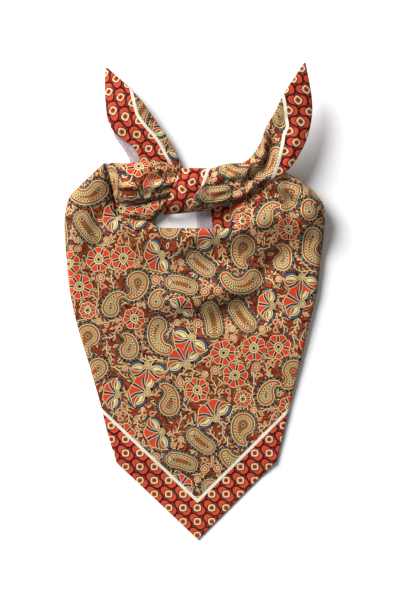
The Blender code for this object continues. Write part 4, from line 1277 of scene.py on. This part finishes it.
def panel_pieces():
    n_s, n_t = int(190 * FINE), int(130 * FINE)
    s = np.linspace(0.0, 1.0, n_s + 1)
    # rows close up under the neckline's rolled edge
    s = np.concatenate([[0.0, 0.0008, 0.0022, 0.0045, 0.0080], np.linspace(0.013, 1.0, n_s)])
    left = along([(e.x, e.y) for e in LEFT_SIDE], s)
    right = along([(e.x, e.y) for e in RIGHT_SIDE], s)
    chord = np.linalg.norm(right - left, axis=-1)
    xl_h = panel_height(left[:, 0] + 4.0, left[:, 1])
    xr_h = panel_height(right[:, 0] - 4.0, right[:, 1])
    phi = np.linspace(0.0, math.pi / 2, 8)[:-1]
    roll = 1.0 - np.cos(phi)
    wl, wr = roll_width(xl_h) / chord, roll_width(xr_h) / chord
    mid = np.linspace(0.0, 1.0, n_t + 1)
    t = np.concatenate([
        wl[:, None] * roll[None],
        wl[:, None] + (1.0 - wl - wr)[:, None] * mid[None],
        (1.0 - wr[:, None] * roll[None])[:, ::-1],
    ], axis=1)
    top = panel_surface(s, t)
    # flat cloth plane: from the point, with the arc of the rise added sideways
    plan = top[..., :2]
    flat_x = plan[..., 0] - POINT.x
    flat_y = plan[..., 1] - POINT.y
    centre = t.shape[1] // 2
    arc = cumulative(top, 1)
    flat_len = cumulative(np.concatenate([plan, np.zeros_like(plan[..., :1])], axis=-1), 1)
    extra = (arc - flat_len)
    extra = extra - extra[:, centre:centre + 1]
    flat_x = flat_x + extra

    def side(sign, table, key, rows_side, top_edge, flat_edge):
        """Under half of the roll, then the side folded behind, ending at its
        free edge.  Returns points and flat positions from the roll inward."""
        k = np.linspace(0.0, math.pi / 2, 7)[1:]
        zc = top_edge[:, 2]
        w = roll_width(xl_h if sign < 0 else xr_h)
        ys = top_edge[:, 1]
        inner_x = np.interp(ys, [f.y for f in SIDE_FOLDS], [getattr(f, key) for f in SIDE_FOLDS])
        gone = ease((ys + 133.0) / 6.0)
        pts, dist = [], []
        x0 = top_edge[:, 0]
        span = np.abs(inner_x - x0) * gone + 0.05
        w_here = np.minimum(w * gone + 0.02, 0.45 * span)
        for a in k:
            x = x0 - sign * w_here * (1.0 - math.cos(a))
            z = 0.04 + (zc - 0.04) * (1.0 - math.sin(a))
            pts.append(np.stack([x, ys, z], axis=-1))
        run = (span - w_here)
        for q in np.linspace(0.0, 1.0, 22)[1:]:
            x = x0 - sign * (w_here + run * q)
            lift = 0.35 * np.sin(q * 9.0 + ys * 0.05) ** 2 * np.sin(math.pi * q)
            z = 0.04 + lift * gone * 0.5
            pts.append(np.stack([x, ys, z], axis=-1))
        pts = np.stack(pts, axis=1)
        both = np.concatenate([top_edge[:, None], pts], axis=1)
        d = cumulative(both, 1)[:, 1:]
        total = np.maximum(d[:, -1:], 1e-6)
        # the free edge is the cut edge of the square: walk it from the fold
        edge_pts = pts[:, -1, :2]
        start = len(edge_pts) - 1
        seg = np.linalg.norm(np.diff(edge_pts[::-1], axis=0), axis=-1)
        walked = np.concatenate([[0.0], np.cumsum(seg)])[::-1]
        corner = np.array([(LEFT_SIDE if sign < 0 else RIGHT_SIDE)[-1].x - POINT.x,
                           (LEFT_SIDE if sign < 0 else RIGHT_SIDE)[-1].y - POINT.y])
        direction = corner / np.linalg.norm(corner)
        edge_flat = corner[None] + direction[None] * walked[:, None]
        frac = (d / total)[..., None]
        flat = flat_edge[:, None] * (1 - frac) + edge_flat[:, None] * frac
        return pts, flat

    lp, lf = side(-1.0, LEFT_SIDE, "inner_left", None, top[:, 0], stack(flat_x, flat_y)[:, 0])
    rp, rf = side(1.0, RIGHT_SIDE, "inner_right", None, top[:, -1], stack(flat_x, flat_y)[:, -1])
    grid = np.concatenate([lp[:, ::-1], top, rp], axis=1)
    flat = np.concatenate([lf[:, ::-1], stack(flat_x, flat_y), rf], axis=1)
    # the neckline is a fold: under the band the cloth runs on beneath it, at
    # the neck opening it turns back under itself
    lip, lip_flat = [], []
    inward = grid[6] - grid[0]
    inward[..., 2] = 0
    inward /= np.maximum(np.linalg.norm(inward, axis=-1, keepdims=True), 1e-6)
    is_top = np.zeros(grid.shape[1])
    is_top[lp.shape[1]:lp.shape[1] + top.shape[1]] = 1.0
    nx, ny = grid[0, :, 0], grid[0, :, 1]
    covered = np.maximum(ease((-33.0 - nx) / 4.0), ease((nx - 33.2) / 1.6) * ease((ny - 61.0) / 4.0))
    reach = ease((nx - NECKLINE[0].x) / 16.0) * ease((NECKLINE[-1].x - nx) / 16.0)
    for run, drop, out, sink in ((0.25, 0.7, 1.2, 1.6), (0.9, 1.15, 3.0, 3.6),
                                 (2.2, 1.35, 5.5, 5.6), (5.0, 1.5, 8.5, 6.6)):
        p = grid[0].copy()
        step = run * (1.0 - covered) - out * covered * reach
        p += inward * (step * is_top)[:, None]
        p[..., 2] -= (drop * (1.0 - covered) + sink * covered) * is_top
        p[..., 2] = np.where(is_top > 0, np.maximum(p[..., 2], 1.3 * covered + 0.04), p[..., 2])
        lip.append(p)
        f = flat[0].copy()
        f[:, 1] += run * (1.0 - covered) + out * covered
        lip_flat.append(f)
    grid = np.concatenate([np.stack(lip[::-1]), grid])
    flat = np.concatenate([np.stack(lip_flat[::-1]), flat])
    # the sides folded behind take less of the chart
    squeeze = np.where(is_top[1:] * is_top[:-1] > 0, 1.0, 0.3)
    # the point's two cut edges as they lie
    m = np.minimum(0.707 * (flat[..., 1] - flat[..., 0]), 0.726 * flat[..., 1] + 0.688 * flat[..., 0])
    bx, by = flat[..., 0] + 0.6, (flat[..., 1] - 3.5) * 1.045
    front = shell("cloth_panel", grid, SHEET, flat + np.array([300.0, 300.0]), stack(bx, by, m),
                  ("print", "wrong"), back_slot=1, squeeze=squeeze,
                  nodes=("front_panel", "side_fold_left", "side_fold_right"))

    # the square's other half, under the front, its own print facing down
    n2s, n2t = int(70 * FINE), int(60 * FINE)
    s2 = np.linspace(0.05, 0.997, n2s)
    t2 = np.tile(np.linspace(0.035, 0.965, n2t), (n2s, 1))
    back = panel_surface(s2, t2, lower=0.0)
    keep = ease((back[..., 1] + 150.0) / 12.0)
    back[..., 2] = back[..., 2] - (0.60 + 0.45 * keep)
    bf = back[..., :2] - np.array([POINT.x, POINT.y])
    u = (bf[..., 1] - bf[..., 0]) / math.sqrt(2)
    v = (bf[..., 1] + bf[..., 0]) / math.sqrt(2)
    shell("cloth_back_layer", back, SHEET * 0.9, bf + np.array([340.0, 290.0]),
          stack(bf[..., 0] + 0.6, bf[..., 1] - 3.5, np.minimum(u, v)), ("print", "wrong"),
          top_slot=1, back_slot=0, nodes=("panel_hidden_layers",))
    return front


def band_pieces():
    k = FINE
    # upper puff
    grid = ribbon_grid(BAND_LEFT_UPPER, int(96 * k), int(64 * k), creases=BAND_UPPER_CREASES, seed=7, wave=0.45)
    al, aw = edge_frame(grid, "a")
    field = stack(al + 402.0, -aw + 214.0)
    shell("cloth_band_upper", grid, SHEET, field, stack(al, aw, np.full_like(al, 99.0)),
          ("print", "wrong"), back_slot=1, nodes=("band_left_upper",))
    # lower roll
    grid = ribbon_grid(BAND_LEFT_LOWER, int(80 * k), int(30 * k), creases=BAND_LOWER_CREASES, seed=9, wave=0.3)
    al, aw = edge_frame(grid, "a")
    shell("cloth_band_lower", grid, 1.2, stack(al + 216.0, -aw * 1.15 + 97.0), stack(al, aw, np.full_like(al, 99.0)),
          ("print", "wrong"), back_slot=0, nodes=("band_left_lower",))
    # knot, band and right tail
    grid = ribbon_grid(STRIP, int(300 * k), int(56 * k), creases=STRIP_CREASES, seed=12, wave=0.22)
    rows = grid.shape[0]
    frac = np.linspace(0.0, len(STRIP) - 1.0, rows)
    downward = cumulative(grid, 1)
    x, y = grid[..., 0], grid[..., 1]
    # on the knot the border narrows downwards, where a fold hides part of it
    from_edge, s_edge = beside(polyline(KNOT_EDGE), x, y)
    from_line, _ = beside(polyline(KNOT_LINE), x, y)
    width = np.maximum(from_edge - from_line, 1.0)
    low = ease((95.0 - y) / 4.0)
    m_in = from_edge * ((22.85 / width) * (1.0 - low) + 0.97 * low)
    m_out = 22.85 + from_line + 6.0 * low
    m_knot = np.where(from_line < 0.0, m_in, m_out)
    s_edge = 0.25 * s_edge + 0.75 * ((x + 12.1) * -0.22 + (y - 112.0) * -0.975) * 1.04
    kx = (m_knot - 4.4 - (s_edge - 4.4)) / math.sqrt(2.0)
    ky = (m_knot - 4.4 + (s_edge - 4.4)) / math.sqrt(2.0)
    # on the tail it follows the cream line, the far side of it turned under
    from_line_t, s_line = beside(polyline(RIGHT_LINE), x, y)
    m_tail = 22.85 - from_line_t
    axis = np.array([-0.12, -0.99])
    s_tail = 0.25 * s_line + 0.75 * ((x - 70.6) * axis[0] + (y - 166.6) * axis[1])
    tx = (1.01 * (s_tail - 11.8) - (m_tail - 3.5)) / math.sqrt(2.0)
    ty = (1.01 * (s_tail - 11.8) + (m_tail - 3.5)) / math.sqrt(2.0)
    on_tail = x > 40.0
    bx, by = np.where(on_tail, tx, kx), np.where(on_tail, ty, ky)
    m = np.where(on_tail, m_tail, m_knot)
    step_up = ease((from_line - 0.2) / 1.4) * low * ease((14.0 - from_line) / 10.0)
    grid[..., 2] += 0.9 * np.where(from_line > 0, step_up, 0.0)
    # one continuous plane for the field print: rows follow the strip's middle
    mid = grid[:, grid.shape[1] // 2]
    run = np.concatenate([[0.0], np.cumsum(np.linalg.norm(np.diff(mid, axis=0), axis=-1))])
    fx = run[:, None] + 0 * downward
    fy = -(downward - downward[:, grid.shape[1] // 2][:, None])
    shell("cloth_knot_strip", grid, SHEET * 1.3, stack(fx + 121.0, fy + 152.0), stack(bx, by, m),
          ("print", "wrong"), back_slot=0, nodes=("knot_wrap", "band_right", "tail_right"))
    # left tail
    grid = ribbon_grid(TAIL_LEFT, int(130 * k), int(48 * k), creases=TAIL_LEFT_CREASES, seed=5, wave=0.25)
    x, y = grid[..., 0], grid[..., 1]
    from_line, s_line = beside(polyline(LEFT_LINE), x, y)
    m = 22.85 + from_line
    axis = np.array([0.50, -0.866])
    s_left = 0.5 * s_line + 0.5 * ((x + 52.4) * axis[0] + (y - 173.0) * axis[1])
    bx = ((m - 4.6) - 1.08 * (s_left + 5.2)) / math.sqrt(2.0)
    by = ((m - 4.6) + 1.08 * (s_left + 5.2)) / math.sqrt(2.0)
    al, aw = s_left, m
    shell("cloth_tail_left", grid, SHEET * 1.3, stack(al + 60.0, aw + 20.0), stack(bx, by, aw),
          ("print", "wrong"), back_slot=0, nodes=("tail_left",))
    grid = ribbon_grid(TAIL_LEFT_BACK, int(60 * k), int(24 * k), seed=6, wave=0.3)
    al, aw = edge_frame(grid, "a")
    bx, by = border_plane(al + 30.0, aw)
    shell("cloth_tail_left_back", grid, SHEET, stack(al, aw), stack(bx, by, aw),
          ("wrong", "print"), back_slot=1, nodes=("tail_left_back",))
    # layer inside the neck opening
    grid = ribbon_grid(INNER_NECK, int(40 * k), int(40 * k), seed=8, wave=0.12, floor=1.6)
    al, aw = edge_frame(grid, "a")
    bx, by = border_plane(aw + 76.0, al)
    shell("cloth_inner_neck", grid, SHEET, stack(al, aw), stack(bx + 3.0, by + 1.0, al),
          ("print", "wrong"), back_slot=1, nodes=("inner_neck_layer",))
    # gathered layers inside the band
    grid = ribbon_grid(BAND_CORE, int(60 * k), int(24 * k), seed=3, wave=0.5, floor=3.0)
    al, aw = edge_frame(grid, "a")
    grid[..., 2] -= 0.4
    shell("cloth_band_core", grid, 1.0, stack(al, aw), stack(al, aw, np.full_like(al, 99.0)),
          ("print", "wrong"), back_slot=0, nodes=("band_hidden_layers",))


panel_pieces()
band_pieces()

# ================================================================ stage, light
def plain(name, colour, rough):
    mat = bpy.data.materials.new(name)
    mat.use_nodes = True
    b = mat.node_tree.nodes["Principled BSDF"]
    b.inputs["Base Color"].default_value = colour
    b.inputs["Roughness"].default_value = rough
    b.inputs["Specular IOR Level"].default_value = 0.1
    return mat


bpy.ops.mesh.primitive_plane_add(size=6.0, location=(0.0, 0.0, -0.0001))
floor = bpy.context.object
floor.name = "stage_floor"
floor.data.materials.append(plain("stage", (0.86, 0.86, 0.86, 1.0), 0.9))

world = bpy.data.worlds.new("studio")
bpy.context.scene.world = world
world.use_nodes = True
world.node_tree.nodes["Background"].inputs["Color"].default_value = (1.0, 1.0, 1.0, 1.0)
world.node_tree.nodes["Background"].inputs["Strength"].default_value = 0.25


def area(name, where, target, size, power):
    light = bpy.data.lights.new(name, "AREA")
    light.shape = "DISK"
    light.size = size
    light.energy = power
    obj = bpy.data.objects.new(name, light)
    bpy.context.scene.collection.objects.link(obj)
    obj.location = where
    from mathutils import Vector
    aim = Vector(target) - Vector(where)
    obj.rotation_euler = aim.to_track_quat("-Z", "Y").to_euler()
    return obj


area("key", (-1.78, 1.675, 1.745), (0.0, 0.0, 0.0), 2.1, 202.0)

cam = bpy.data.cameras.new("camera")
cam.lens = 109.0
cam.sensor_width = 36.0
cam.clip_start = 0.05
cam_obj = bpy.data.objects.new("camera", cam)
bpy.context.scene.collection.objects.link(cam_obj)
cam_obj.location = (0.0046, 0.0029, 1.5)
cam_obj.rotation_euler = (0.0, 0.0, 0.0)
bpy.context.scene.camera = cam_obj
bpy.context.scene.view_settings.view_transform = "Standard"
